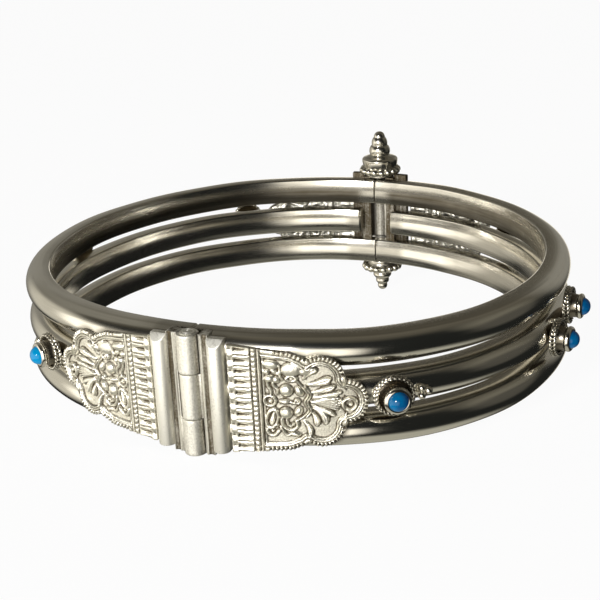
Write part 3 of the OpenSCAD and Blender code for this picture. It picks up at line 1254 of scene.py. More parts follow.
    def build_pin(self, material: bpy.types.Material) -> None:
        """Builds the riveted pin: a rod whose upper head has turned grooves.

        Args:
            material: Its finish.
        """
        barrel = BARRELS[End.HINGE]
        top, bottom, radius = barrel.top, barrel.bottom + 0.02, self.pin_radius
        profile = np.array([
            [0, bottom], [radius - 0.05, bottom], [radius, bottom + 0.06], [radius, top - 0.3],
            [radius, top], [0.80, top + 0.02], [0.82, top + 0.07], [0.74, top + 0.13],
            [0.66, top + 0.13], [0.60, top + 0.06], [0.54, top + 0.06], [0.48, top + 0.15],
            [0.30, top + 0.19], [0.14, top + 0.19], [0.08, top + 0.10], [0, top + 0.09],
        ])
        across, out, z = turned(profile, 40)
        points = self.outline.at_end(End.HINGE, across, out - barrel.axis_depth, z, Side.RIGHT)
        work = Workpiece("hinge_pin_riveted", self.ring)
        pit = np.where(profile[:, :1] < 0.1, 0.7, 0.1)
        work.grid(points, hollow=pit + 0 * across, round_v=True)
        work.finish(material, Side.LEFT.body, "hinge_pin", crease=30)

    def build_all(self, material: bpy.types.Material) -> None:
        """Builds the four fittings and the pin."""
        for side, end in product(Side, End):
            self.build(side, end, material)
        self.build_pin(material)


class Relief:
    """Height of a stamped surface, in millimetres, on a grid of places on the plate.

    Each motif is a raised form; the surface takes the highest form at each place.
    """

    WIRE_STEPS = 8
    PETAL_SHOULDER = 0.72
    VEIN_DEPTH = 0.28
    VEIN_HALF = 0.16
    VEIN_END = 0.93

    def __init__(self, a: Array, b: Array, ground: float) -> None:
        """Starts from flat ground.

        Args:
            a: Distance along the plate from its wide end.
            b: Height above the plate's middle line.
            ground: Height of the ground above the plate's back.
        """
        self.a = a
        self.b = b
        self.height = np.full(a.shape, ground)
        self.ground = ground

    def _raise(self, form: Array) -> None:
        """Keeps the higher of the surface and a form that stands on the ground."""
        self.height = np.maximum(self.height, self.ground + form)

    def _oval(self, place: Pair, size: Pair, turn: float) -> Array:
        """Distance of every place from an oval's middle, as a share of the oval's size that way.

        Args:
            place: Middle.
            size: Half length and half width.
            turn: Direction of its length in degrees.

        Returns:
            The share, which is 1 on the oval.
        """
        c, s = math.cos(math.radians(turn)), math.sin(math.radians(turn))
        x, y = self.a - place[0], self.b - place[1]
        return np.hypot((x * c + y * s) / size[0], (y * c - x * s) / size[1])

    def dome(self, place: Pair, size: Pair, rise: float, turn: float = 0.0, top: float = 1.9) -> None:
        """Raises an oval boss: the rise times a flattened round of the distance from its middle.

        Args:
            place: Middle.
            size: Half length and half width.
            rise: Height above the ground.
            turn: Direction of its length in degrees.
            top: How flat its top is: 2 is an ellipsoid, more is flatter.
        """
        self._raise(rise * half_round(self._oval(place, size, turn), 1, top))

    def wire(self, points: list[Pair], width: float, rise: float) -> None:
        """Raises a round wire along a curve: a half round of the distance from the curve.

        Args:
            points: Places that the curve passes.
            width: Half width of the wire.
            rise: Height above the ground.
        """
        route = smooth_profile(np.array(points), self.WIRE_STEPS)
        self._raise(rise * half_round(self._distance(route), width))

    def _distance(self, route: Array) -> Array:
        """Distance of every place from a chain of straight steps.

        Args:
            route: Points of the chain, shaped count by two.

        Returns:
            Distance from the nearest step.
        """
        nearest = np.full(self.a.shape, np.inf)
        for start, end in zip(route[:-1], route[1:]):
            step = end - start
            x, y = self.a - start[0], self.b - start[1]
            t = np.clip((x * step[0] + y * step[1]) / (step @ step + 1e-12), 0, 1)
            nearest = np.minimum(nearest, np.hypot(x - t * step[0], y - t * step[1]))
        return nearest

    def loop(self, place: Pair, size: Pair, width: float, rise: float, turn: float = 0.0) -> None:
        """Raises an oval ring of wire: a half round of the distance from the oval.

        Args:
            place: Middle.
            size: Half length and half width of the ring.
            width: Half width of the wire.
            rise: Height above the ground.
            turn: Direction of the ring's length in degrees.
        """
        gap = (self._oval(place, size, turn) - 1) * min(size)
        self._raise(rise * half_round(gap, width))

    def petal(self, root: Pair, tip: Pair, width: float, rise: float, bend: float = 0.0) -> None:
        """Raises a petal that widens and rises from its root to a round tip, with a vein.

        Args:
            root: Where it starts.
            tip: Where it ends.
            width: Half width near the tip.
            rise: Height near the tip.
            bend: Sideways bow of its middle line, as a share of its length.
        """
        way = np.array(tip) - np.array(root)
        length = np.hypot(*way)
        way /= length
        x, y = self.a - root[0], self.b - root[1]
        t = (x * way[0] + y * way[1]) / length
        inside = np.clip(t, 0, 1)
        side = y * way[0] - x * way[1] - 4 * bend * length * inside * (1 - inside)
        swell = ramp(inside, 0, self.PETAL_SHOULDER)
        round_off = half_round(ramp(inside, self.PETAL_SHOULDER, 1), 1)
        half = width * (0.25 + 0.75 * swell**0.8) * round_off
        share = np.abs(side) / np.maximum(half, TINY)
        vein = self.VEIN_DEPTH * bell(share, self.VEIN_HALF) * swell * (inside < self.VEIN_END)
        form = rise * (half_round(share, 1, 2.2) * (0.35 + 0.65 * swell) - vein)
        self._raise(np.where((t > 0) & (t < 1), form, 0))

    def lift(self, rise: Array) -> None:
        """Raises the surface."""
        self.height = self.height + rise

    def sink(self, depth: Array) -> None:
        """Lowers the surface."""
        self.height = self.height - depth

    def soften(self, rounds: int) -> Array:
        """The height averaged with its neighbours, without changing it.

        Args:
            rounds: Times that each place is averaged with those round it.

        Returns:
            The smoother height.
        """
        soft = self.height
        for _ in range(rounds):
            padded = np.pad(soft, 1, mode="edge")
            soft = (padded[:-2] + 2 * padded[1:-1] + padded[2:])[:, 1:-1] / 4
            padded = np.pad(soft, 1, mode="edge")
            soft = (padded[:, :-2] + 2 * padded[:, 1:-1] + padded[:, 2:])[1:-1] / 4
        return soft


# Distance of a plate's wide end from either end of its half, and its length along the ring.
PLATE_SPANS = {Side.LEFT: (4.3, 13.6), Side.RIGHT: (4.6, 14.4)}


@dataclass(frozen=True)
class Strip:
    """Sizes of the band beside the rib. Places are distances from the plate's wide end."""

    end: float = 3.45
    rise: float = 0.30
    pitch: float = 1.22
    tongue: Pair = (0.75, 2.32)
    tongue_spread: float = 1.55
    tongue_half: float = 0.36
    tongue_depth: float = 0.12
    cut: Pair = (0.72, 2.0)
    cut_spread: float = 1.2
    cut_half: float = 0.17
    cut_depth: float = 0.26
    ridge: Pair = (0.55, 2.3)
    ridge_half: float = 0.30
    ridge_rise: float = 0.06
    crack_start: float = 0.7
    crack_half: float = 0.06
    crack_depth: float = 0.20
    bead_place: float = 0.33
    bead_radius: float = 0.27
    bead_rise: float = 0.12
    notch_place: float = 0.28
    notch_radius: float = 0.17
    notch_depth: float = 0.12
    lines: tuple[float, ...] = (2.47, 3.1, 3.47)
    line_half: float = 0.06
    line_depth: float = 0.22
    row_place: float = 2.8
    row_half: float = 0.26
    row_rise: float = 0.06
    row_pitch: float = 0.56
    row_gap: float = 0.055
    row_depth: float = 0.24


@dataclass(frozen=True)
class Edging:
    """Sizes of the lobed border. Places are distances from the plate's edge."""

    width: float = 0.92
    rise: float = 0.16
    pitch: float = 0.46
    tooth_place: float = 0.22
    tooth_half: float = 0.24
    tooth_rise: float = 0.20
    tooth_reach: float = 0.34
    tooth_depth: float = 0.16
    groove_place: float = 0.48
    groove_half: float = 0.05
    groove_depth: float = 0.10
    outer_wire: Pair = (0.62, 0.11)
    inner_wire: Pair = (0.90, 0.09)
    wire_rise: float = 0.16
    start: float = 3.3
    teeth_above: float = 4.9
    teeth_below: float = 3.8
    fade: float = 0.2


@dataclass(frozen=True)
class Plates:
    """Stamped plates: a sheet pressed into leaves, petals and beads, that follows the rails."""

    ring: RingFrame
    outline: Outline
    length: float = 14.4
    width: float = 12.2
    lift: float = 0.03
    drop: float = 0.45
    motif_rise: float = 0.15
    neck: float = 0.56
    neck_half: float = 0.785
    bend: float = 0.45
    bend_half: float = 0.9
    lobe_place: float = 9.55
    lobe_rise: float = 2.55
    lobe_radius: float = 2.5
    tip_radius: float = 2.5
    ground: float = 0.16
    sheet: float = 0.22
    leaf_rise: float = 0.42
    fan_rise: float = 0.44
    rows: int = 240
    tip_rows: int = 44
    columns: int = 180
    outline_steps: int = 240
    tip_steps: int = 20
    tip_fine: float = 0.35
    # Reach of the painted shadow on the rails round a plate.
    rail_shadow_reach: float = 0.36
    crease_tarnish: float = 23.0
    # Painted shade in the broad hollows of the relief.
    sunk_shade: float = 2.1
    ground_tarnish: float = 0.10
    strip: Strip = Strip()
    edging: Edging = Edging()

    def half_height(self, a: Array) -> Array:
        """Half height of the outline: the largest of a tapering panel, a lobe and a round tip.

        Args:
            a: Distance along the plate from its wide end.

        Returns:
            Half height, 0 at the tip.
        """
        share = np.clip(a / self.length, 0, 1)
        panel = np.interp(share, [0, self.bend, self.neck], [1, self.bend_half, self.neck_half])
        panel = np.where(share <= self.neck, panel * self.width / 2, 0)
        lobe = a - self.lobe_place
        lobe = np.where(
            np.abs(lobe) < self.lobe_radius,
            self.lobe_rise + np.sqrt(np.clip(self.lobe_radius**2 - lobe**2, 0, None)),
            0,
        )
        tip = np.clip(a - self.length + self.tip_radius, 0, None)
        tip = np.sqrt(np.clip(self.tip_radius**2 - tip**2, 0, None))
        return np.maximum(np.maximum(panel, lobe), tip)

    def places(self) -> tuple[Array, Array]:
        """Places of the front's grid: rows crowd towards the round tip, columns fill the height.

        Returns:
            Distance along the plate and height above its middle line, shaped rows by columns.
        """
        body = self.length - self.tip_radius
        a = np.concatenate([
            np.linspace(0, body, self.rows + 1 - self.tip_rows, endpoint=False),
            body + self.tip_radius * np.sin(quarter_turn(self.tip_rows)),
        ])
        share = np.linspace(-1, 1, self.columns + 1)
        share = share + 0.04 * np.sin(math.pi * share)
        return a[:, None] + 0 * share, self.half_height(a)[:, None] * share

    def border(self, a: Array, b: Array) -> tuple[Array, Array]:
        """Nearness to the lobed edge.

        Args:
            a: Distance along the plate.
            b: Height above its middle line.

        Returns:
            Distance from the edge, and distance round the edge of its nearest place.
        """
        line = np.concatenate([
            np.linspace(0, self.length - self.tip_fine, self.outline_steps),
            self.length - self.tip_fine * (1 - np.sin(quarter_turn(self.tip_steps)))[1:],
        ])
        edge = np.column_stack([line, self.half_height(line)])
        round_edge = np.concatenate([[0], np.cumsum(np.hypot(*np.diff(edge, axis=0).T))])
        gap = np.hypot(a[..., None] - edge[:, 0], np.abs(b)[..., None] - edge[:, 1])
        nearest = gap.argmin(axis=-1)
        return np.take_along_axis(gap, nearest[..., None], -1)[..., 0], round_edge[nearest]

    def tarnish_round(self, s: Array, z: Array, side: Side) -> Array:
        """Painted shadow on the rails round both plates of a half.

        Args:
            s: Distance from the hinge of places on a rail.
            z: Their height.
            side: The half.

        Returns:
            Depth of the painted shadow, 1 under a plate and close to its edge.
        """
        start, reach = PLATE_SPANS[side]
        dark = np.zeros(np.broadcast_shapes(s.shape, z.shape))
        for end in End:
            a = (self.outline.from_hinge(end, s) - start) * self.length / reach + 0 * z
            near = (a > -1) & (a < self.length + 1)
            along, up = a[near], (z + self.drop + 0 * s)[near]
            gap, _ = self.border(along, up)
            inside = (np.abs(up) < self.half_height(along)) & (along > 0)
            dark[near] = np.where(inside, 1.0, bell(gap, self.rail_shadow_reach))
        return dark

    def add_tongues(self, relief: Relief) -> None:
        """Presses the band beside the rib: sunk and cut tongues, with a cracked ridge between two.

        Args:
            relief: The surface that takes them.
        """
        a, strip = relief.a, self.strip
        relief.height = np.maximum(relief.height, self.ground + strip.rise * (a < strip.end))
        phase = (relief.b / strip.pitch) % 1 - 0.5
        near, far = strip.tongue
        reach = ramp(a, near, near + strip.tongue_spread)
        half = np.maximum(strip.tongue_half * reach**0.7, TINY)
        tongue = half_round(phase, half) * (a > near) * (a < far)
        relief.sink(strip.tongue_depth * tongue * (1 - 0.7 * reach))
        near, far = strip.cut
        wedge = ramp(a, far, far - strip.cut_spread) * (a > near)
        cut = bell(phase, np.maximum(strip.cut_half * wedge, TINY)) * (wedge > 0)
        relief.sink(strip.cut_depth * cut)
        between = np.abs(np.abs(phase) - 0.5) * strip.pitch
        near, far = strip.ridge
        relief.lift(strip.ridge_rise * bell(between, strip.ridge_half) * (a > near) * (a < far))
        crack = bell(between, strip.crack_half) * (a > strip.crack_start) * (a < far)
        relief.sink(strip.crack_depth * crack)

    def add_beads(self, relief: Relief) -> None:
        """Presses a bead at each ridge, a notch at each tongue, and a lined row of small beads.

        Args:
            relief: The surface that takes them.
        """
        a, strip = relief.a, self.strip
        phase = (relief.b / strip.pitch) % 1 - 0.5
        between = np.abs(np.abs(phase) - 0.5) * strip.pitch
        bead = np.hypot(a - strip.bead_place, between)
        relief.lift(strip.bead_rise * half_round(bead, strip.bead_radius))
        notch = np.hypot(a - strip.notch_place, phase * strip.pitch)
        relief.sink(strip.notch_depth * bell(notch, strip.notch_radius))
        for place in strip.lines:
            relief.sink(strip.line_depth * bell(a - place, strip.line_half))
        dent = np.abs((relief.b / strip.row_pitch) % 1 - 0.5) * strip.row_pitch
        row = bell(a - strip.row_place, strip.row_half, 6)
        relief.lift(row * (strip.row_rise - strip.row_depth * bell(dent, strip.row_gap)))

    def add_border(self, relief: Relief) -> None:
        """Presses the edge: a row of teeth, a groove and a wire, doubled round the lobes.

        Args:
            relief: The surface that takes them.
        """
        edge = self.edging
        gap, along = self.border(relief.a, relief.b + self.motif_rise)
        past_strip = ramp(relief.a, edge.start, edge.start + edge.fade)
        flat = edge.rise * (gap < edge.width)
        relief.height = np.maximum(relief.height, self.ground + flat * past_strip)
        phase = np.abs((along / edge.pitch) % 1 - 0.5) * 2
        tooth = np.clip(1 - (phase / (0.78 - 0.25 * ramp(gap, 0.3, 0))) ** 4, 0, 1)
        row = bell(gap - edge.tooth_place, edge.tooth_half, 6)
        first = np.where(relief.b > 0, edge.teeth_above, edge.teeth_below)
        toothed = ramp(relief.a, first, first + edge.fade)
        relief.lift(edge.tooth_rise * row * (tooth * toothed + past_strip - toothed))
        relief.sink(edge.tooth_depth * (gap < edge.tooth_reach) * toothed * (1 - tooth))
        double = 0.4 + 0.6 * ramp(relief.a, 7.2, 7.6)
        for (place, half), weight in ((edge.outer_wire, 1.0), (edge.inner_wire, double)):
            relief.lift(edge.wire_rise * half_round(gap - place, half) * past_strip * weight)
        groove = bell(gap - edge.groove_place, edge.groove_half)
        relief.sink(edge.groove_depth * groove * past_strip)

    def add_leaves(self, relief: Relief) -> None:
        """Presses the panel: scrolled leaves, balls and drops about the plate's middle line.

        Args:
            relief: The surface that takes them.
        """
        rise = self.leaf_rise
        relief.wire([(3.66, 5.0), (3.66, 0), (3.66, -5.6)], 0.09, 0.2)
        relief.dome((4.50, 3.95), (0.86, 0.52), rise, -6)
        relief.dome((4.05, 3.12), (0.36, 0.34), rise * 0.8)
        relief.dome((4.82, 3.18), (0.50, 0.26), rise * 0.6, -35)
        relief.wire([(5.36, 3.85), (5.42, 3.3), (5.2, 2.9)], 0.12, rise * 0.6)
        relief.dome((4.30, 2.38), (0.55, 0.42), rise, 10)
        relief.dome((5.02, 2.25), (0.36, 0.40), rise * 0.8)
        relief.wire([(4.05, 2.05), (4.15, 1.5), (4.40, 1.05), (4.42, 0.7)], 0.15, rise * 0.6)
        relief.wire([(4.65, 2.0), (4.72, 1.6), (5.05, 1.25), (5.12, 0.75)], 0.15, rise * 0.6)
        relief.loop((4.25, -0.1), (0.60, 0.56), 0.16, rise * 0.75)
        relief.dome((4.32, -0.12), (0.26, 0.24), rise * 0.8)
        relief.loop((4.40, -2.15), (1.08, 0.58), 0.14, rise * 0.7, 74)
        relief.petal((4.75, -1.05), (4.28, -2.85), 0.30, rise * 0.9)
        relief.dome((4.92, -2.85), (0.17, 0.17), rise * 0.8)
        relief.wire([(3.80, -3.45), (4.05, -3.95), (4.60, -4.0), (5.10, -3.45)], 0.20, rise * 0.8)
        relief.dome((4.42, -3.52), (0.2, 0.16), rise * 0.7)
        relief.dome((6.60, 3.42), (1.08, 0.82), rise * 1.05, 8)
        relief.loop((6.58, 2.44), (0.50, 0.27), 0.12, rise * 0.8)
        relief.dome((6.60, 2.44), (0.28, 0.13), rise * 0.8)
        relief.wire([(5.50, 3.2), (5.42, 2.7), (5.62, 2.3)], 0.12, rise * 0.6)
        for middle in ((6.02, 1.10), (5.90, -1.45)):
            relief.dome(middle, (0.70, 0.68), rise * 1.15, 0, 2.1)
        relief.dome((7.35, 1.05), (0.62, 0.42), rise, -60)
        relief.dome((7.20, -1.22), (0.62, 0.42), rise, 62)
        relief.dome((5.78, -0.16), (0.62, 0.26), rise * 0.8)
        relief.dome((6.60, -0.30), (0.32, 0.14), rise * 0.6, -20)
        relief.loop((7.12, -0.12), (0.24, 0.24), 0.10, rise * 0.8)
        relief.dome((7.12, -0.12), (0.10, 0.10), rise * 0.8)
        scroll = [(5.42, -2.15), (5.50, -2.75), (5.95, -3.25), (6.55, -3.32), (7.05, -2.85),
                  (6.95, -2.3)]
        relief.wire(scroll, 0.20, rise * 0.85)
        relief.wire([(5.95, -2.25), (6.05, -2.75), (6.38, -2.9)], 0.14, rise * 0.8)
        relief.dome((6.62, -2.68), (0.20, 0.20), rise * 0.95)
        relief.wire([(5.25, -3.0), (5.75, -3.85), (6.1, -4.0)], 0.13, rise * 0.6)
        relief.dome((6.75, -3.85), (0.62, 0.27), rise * 0.8, -6)
        brace = [(7.05, 2.3), (7.7, 1.5), (8.22, 0.72), (8.12, 0.3), (7.86, -0.15), (8.02, -0.62),
                 (8.22, -1.15), (7.65, -1.85), (7.0, -2.25)]
        relief.wire(brace, 0.10, rise * 0.75)
        relief.wire([(p[0] + 0.30, p[1] * 1.04) for p in brace[1:-1]], 0.09, rise * 0.7)

    def add_fan(self, relief: Relief) -> None:
        """Presses the fan: petals and rays from the brace to the lobes, and the ring at the tip.

        Args:
            relief: The surface that takes them.
        """
        rise = self.fan_rise
        relief.dome((8.15, 3.35), (0.85, 0.50), rise, 22)
        relief.petal((7.75, 2.35), (9.25, 3.55), 0.42, rise, 0.10)
        relief.petal((8.20, 1.75), (10.65, 2.50), 0.44, rise * 1.05, -0.04)
        relief.petal((8.60, 0.90), (11.05, 1.62), 0.36, rise, -0.03)
        relief.petal((8.80, 0.30), (11.70, 0.95), 0.28, rise * 0.9, -0.02)
        relief.petal((8.75, -0.85), (10.05, -2.65), 0.46, rise * 1.05, 0.16)
        relief.petal((8.55, -1.30), (9.10, -2.85), 0.36, rise, 0.10)
        relief.petal((7.70, -2.35), (8.40, -4.00), 0.34, rise, 0.12)
        relief.petal((8.90, -0.75), (10.95, -1.75), 0.30, rise * 0.8, 0.05)
        relief.dome((8.15, -4.35), (0.5, 0.16), rise * 0.5, -12)
        for index, slope in enumerate(np.linspace(0.5, -1.1, 7)):
            end = (11.55 - 0.12 * abs(index - 3), slope)
            relief.wire([(8.55, -0.12), end], 0.11, rise * (0.55 + 0.05 * (index % 2)))
        relief.loop((12.42, -0.42), (0.66, 0.64), 0.19, rise * 0.95)
        relief.dome((12.50, -0.46), (0.26, 0.26), rise * 0.9)
        relief.dome((11.62, -0.05), (0.17, 0.3), rise * 0.9, 20)

    def relief(self, a: Array, b: Array) -> Relief:
        """The whole stamping on a grid of places.

        Args:
            a: Distance along the plate.
            b: Height above its middle line.

        Returns:
            The pressed surface.
        """
        relief = Relief(a, b - self.motif_rise, self.ground)
        self.add_leaves(relief)
        self.add_fan(relief)
        self.add_border(relief)
        self.add_tongues(relief)
        self.add_beads(relief)
        relief.height = relief.soften(1)
        return relief

    def tarnish(self, relief: Relief) -> Array:
        """Darkening of the front: patina in its fine creases and painted shade in its broad hollows,
        by how far a place lies below those round it, and a little on the bare ground.

        Args:
            relief: The pressed surface.

        Returns:
            Depth of the tarnish at each place.
        """
        # Patina in the fine creases.
        crease = relief.soften(4) - relief.height
        # Painted shade in the broad hollows.
        sunk = relief.soften(18) - relief.height
        hollow = np.clip(self.crease_tarnish * crease + self.sunk_shade * sunk, 0, 1)
        bare = ramp(relief.height, self.ground + 0.1, self.ground)
        return np.clip(hollow + self.ground_tarnish * bare, 0, 1)

    def build(self, side: Side, end: End, material: bpy.types.Material) -> None:
        """Builds one plate: stamped front, embossed back and the rim between them.

        Args:
            side: The half.
            end: The end of the half.
            material: Its finish.
        """
        a, b = self.places()
        relief = self.relief(a, b)
        start, reach = PLATE_SPANS[side]
        s = self.outline.from_hinge(end, start + a * reach / self.length)
        name = f"{side.word}_{end.value}_plate"
        work = Workpiece(f"{name}_stamped", self.ring)
        points = self.outline.at(s, self.lift + relief.height, b - self.drop, side)
        front = work.grid(points, hollow=self.tarnish(relief))
        back_off = self.lift + np.clip(relief.soften(5) - self.sheet, 0, None)
        back_off[0] = back_off[-1] = self.lift
        back_off[:, 0] = back_off[:, -1] = self.lift
        points = self.outline.at(s, back_off, b - self.drop, side)[::2, ::2]
        back = work.grid(points, hollow=0.05)
        for rim in (np.s_[0], np.s_[:, 0], np.s_[:, -1]):
            work.sew(front[rim], back[rim])
        work.finish(material, side.body, name, crease=75)

    def build_all(self, material: bpy.types.Material) -> None:
        """Builds the four plates."""
        for side, end in product(Side, End):
            self.build(side, end, material)


# Height of the settings past the plates' tips.
TIP_RISES = {Side.LEFT: 0.1, Side.RIGHT: -0.2}

# Distance from the hinge of the upper setting of the staggered pair.
PAIR_PLACES = {Side.LEFT: 54.6, Side.RIGHT: 50.6}


@dataclass(frozen=True)
class Settings:
    """Raised settings: two turns of twisted rope, a polished collar, a bezel and a stone."""

    ring: RingFrame
    outline: Outline
    base_radius: float = 2.25
    height: float = 2.9
    stone_radius: float = 1.05
    stone_foot: float = 1.43
    stone_dome: float = 1.0
    stone_gap: float = 0.03
    stone_shade: float = 0.22
    lift: float = 0.04
    rope_radius: float = 0.24
    rope_steps: tuple[int, int] = (150, 12)
    rope_twists: float = 13.5
    rope_core: float = 0.60
    rope_tarnish: Pair = (0.8, 1.5)
    bezel_height: float = 1.98
    tip_gap: float = 0.35
    pair_rises: Pair = (1.8, -0.5)
    pair_stagger: float = 4.4
    granule_radius: float = 0.44
    trio_place: float = 2.9
    trio_step: float = 0.42

    def tip(self, side: Side) -> Pair:
        """Distance from either end, and height, of the setting past a plate's tip."""
        return sum(PLATE_SPANS[side]) + self.tip_gap + self.base_radius, TIP_RISES[side]

    def place(self, side: Side, seat: Seat) -> Pair:
        """Place of a setting.

        Args:
            side: The half.
            seat: The setting.

        Returns:
            Distance from the hinge, and height.
        """
        near, rise = self.tip(side)
        upper = PAIR_PLACES[side]
        return {
            Seat.HINGE: (near, rise),
            Seat.UPPER: (upper, self.pair_rises[0]),
            Seat.LOWER: (upper - self.pair_stagger, self.pair_rises[1]),
            Seat.CLASP: (self.outline.length - near, rise),
        }[seat]

    def add_rope(self, work: Workpiece, spot: Spot, index: int) -> None:
        """Adds a turn of two-strand rope: the tube's radius follows the twist round the ring.

        Args:
            work: The piece that it becomes part of.
            spot: The setting's place.
            index: The turn, 0 for the one on the rail and 1 for the one above, twisted back.
        """
        around, across = self.rope_steps
        turn = full_turn(around)[:, None]
        tube = full_turn(across)
        twists = (self.rope_twists, -self.rope_twists)[index]
        strand = np.cos(tube - twists * turn) ** 4
        radius = self.rope_radius * (self.rope_core**4 + strand) ** 0.25
        ring = self.base_radius - self.rope_radius * (1 + 0.25 * index) + radius * np.cos(tube)
        out = self.lift + self.rope_radius * (1 + 1.75 * index) + radius * np.sin(tube)
        points = spot.at(out, ring * np.cos(turn), ring * np.sin(turn))
        hollow = np.clip(self.rope_tarnish[0] - self.rope_tarnish[1] * strand, 0, 1)
        work.grid(points, hollow=hollow, round_u=True, round_v=True)

    def add_collar(self, work: Workpiece, spot: Spot) -> None:
        """Adds the base, the hollowed cone and the bezel's flared, rolled lip.

        Args:
            work: The piece that they become part of.
            spot: The setting's place.
        """
        inner = self.stone_radius + self.stone_gap
        top = self.bezel_height
        points = np.array([
            [1.95, 0.0], [1.95, 0.3], [1.86, 0.42], [1.70, 0.50], [1.52, 0.68], [1.40, 0.98],
            [1.35, 1.3], [1.36, 1.48], [1.44, 1.62], [1.47, 1.76], [1.44, top - 0.05],
            [1.33, top + 0.08], [1.18, top + 0.15], [1.06, top + 0.13], [1.0, top + 0.05],
            [1.02, top - 0.05], [inner, top - 0.2],
        ])
        floor = self.stone_foot - self.stone_gap
        curve = smooth_profile(points, 4)
        profile = np.concatenate([[[0.0, 0.0]], curve, [[inner, floor], [0.0, floor]]])
        along, up, out = turned(profile, 48)
        shade = np.interp(profile[:, 1:], [0, 0.4, 1.4, 1.6], [1.0, 0.95, 0.8, 0.0])
        work.grid(spot.at(self.lift + out, along, up), hollow=shade + 0 * along, round_v=True)

    def add_stone(self, work: Workpiece, spot: Spot, depth: float) -> None:
        """Adds the cabochon: a short round side and a dome.

        Args:
            work: The piece that it becomes part of.
            spot: The setting's place.
            depth: Painted shade on its blue, from pale at 0 to deep at 1.
        """
        radius, foot = self.stone_radius, self.stone_foot
        rim = self.height - self.stone_dome
        turn = quarter_turn(16)
        dome = np.column_stack([
            radius * np.cos(turn) ** 0.92, rim + self.stone_dome * np.sin(turn)
        ])
        dome[-1, 0] = 0
        edge = [[0.0, foot], [radius - 0.05, foot], [radius, foot + 0.05]]
        along, up, out = turned(np.concatenate([edge, dome]), 44)
        # Painted shade: the stone's painted depth, and darker towards one side along the ring.
        shade = depth + self.stone_shade * along
        work.grid(spot.at(self.lift + out, along, up), hollow=shade, round_v=True)

    @staticmethod
    def stone_shade_depth(side: Side, seat: Seat) -> float:
        """Painted shade on a stone's blue: the left half's are paler, the right half's pair darkest.

        Args:
            side: The half.
            seat: The setting.

        Returns:
            Depth of its painted shade, from pale at 0 to deep at 1.
        """
        if side is Side.LEFT:
            return 0.1
        return 1.05 if seat in (Seat.UPPER, Seat.LOWER) else 0.87

    def add_granule(self, work: Workpiece, spot: Spot) -> None:
        """Adds a granule that sits on the rail."""
        along, up, out = ball(self.granule_radius, 22)
        work.grid(spot.at(self.lift + self.granule_radius + out, along, up), round_v=True)

    def build(self, side: Side, seat: Seat, metal: bpy.types.Material, gem: bpy.types.Material) -> None:
        """Builds one setting and its stone.

        Args:
            side: The half.
            seat: The setting.
            metal: The setting's finish.
            gem: The stone's finish.
        """
        spot = self.outline.spot(*self.place(side, seat), side)
        name = f"{side.word}_{seat.value}"
        work = Workpiece(f"{name}_setting_roped", self.ring)
        self.add_collar(work, spot)
        for index in (0, 1):
            self.add_rope(work, spot, index)
        work.finish(metal, side.body, f"{name}_setting", crease=50)
        stone = Workpiece(f"{name}_stone_cabochon", self.ring)
        self.add_stone(stone, spot, self.stone_shade_depth(side, seat))
        stone.finish(gem, side.body, f"{name}_stone", crease=50)

    def build_trefoil(self, side: Side, end: End, metal: bpy.types.Material) -> None:
        """Builds three granules: two side by side across the rail and one beyond them.

        Args:
            side: The half.
            end: The end of the half.
            metal: Their finish.
        """
        name = f"{side.word}_{end.value}_granules"
        work = Workpiece(f"{name}_soldered", self.ring)
        near, rise = self.tip(side)
        for along, up in ((0.0, 1.0), (0.0, -1.0), (1.75, 0.0)):
            place = self.outline.from_hinge(end, near + self.trio_place + along * self.trio_step)
            self.add_granule(work, self.outline.spot(place, rise + up * self.trio_step, side))
        work.finish(metal, side.body, name)

    def build_all(self, metal: bpy.types.Material, gem: bpy.types.Material) -> None:
        """Builds the eight settings with their stones, and the four trefoils of granules.

        Args:
            metal: Finish of the settings and the granules.
            gem: Finish of the stones.
        """
        for side in Side:
            for seat in Seat:
                self.build(side, seat, metal, gem)
            for end in End:
                self.build_trefoil(side, end, metal)


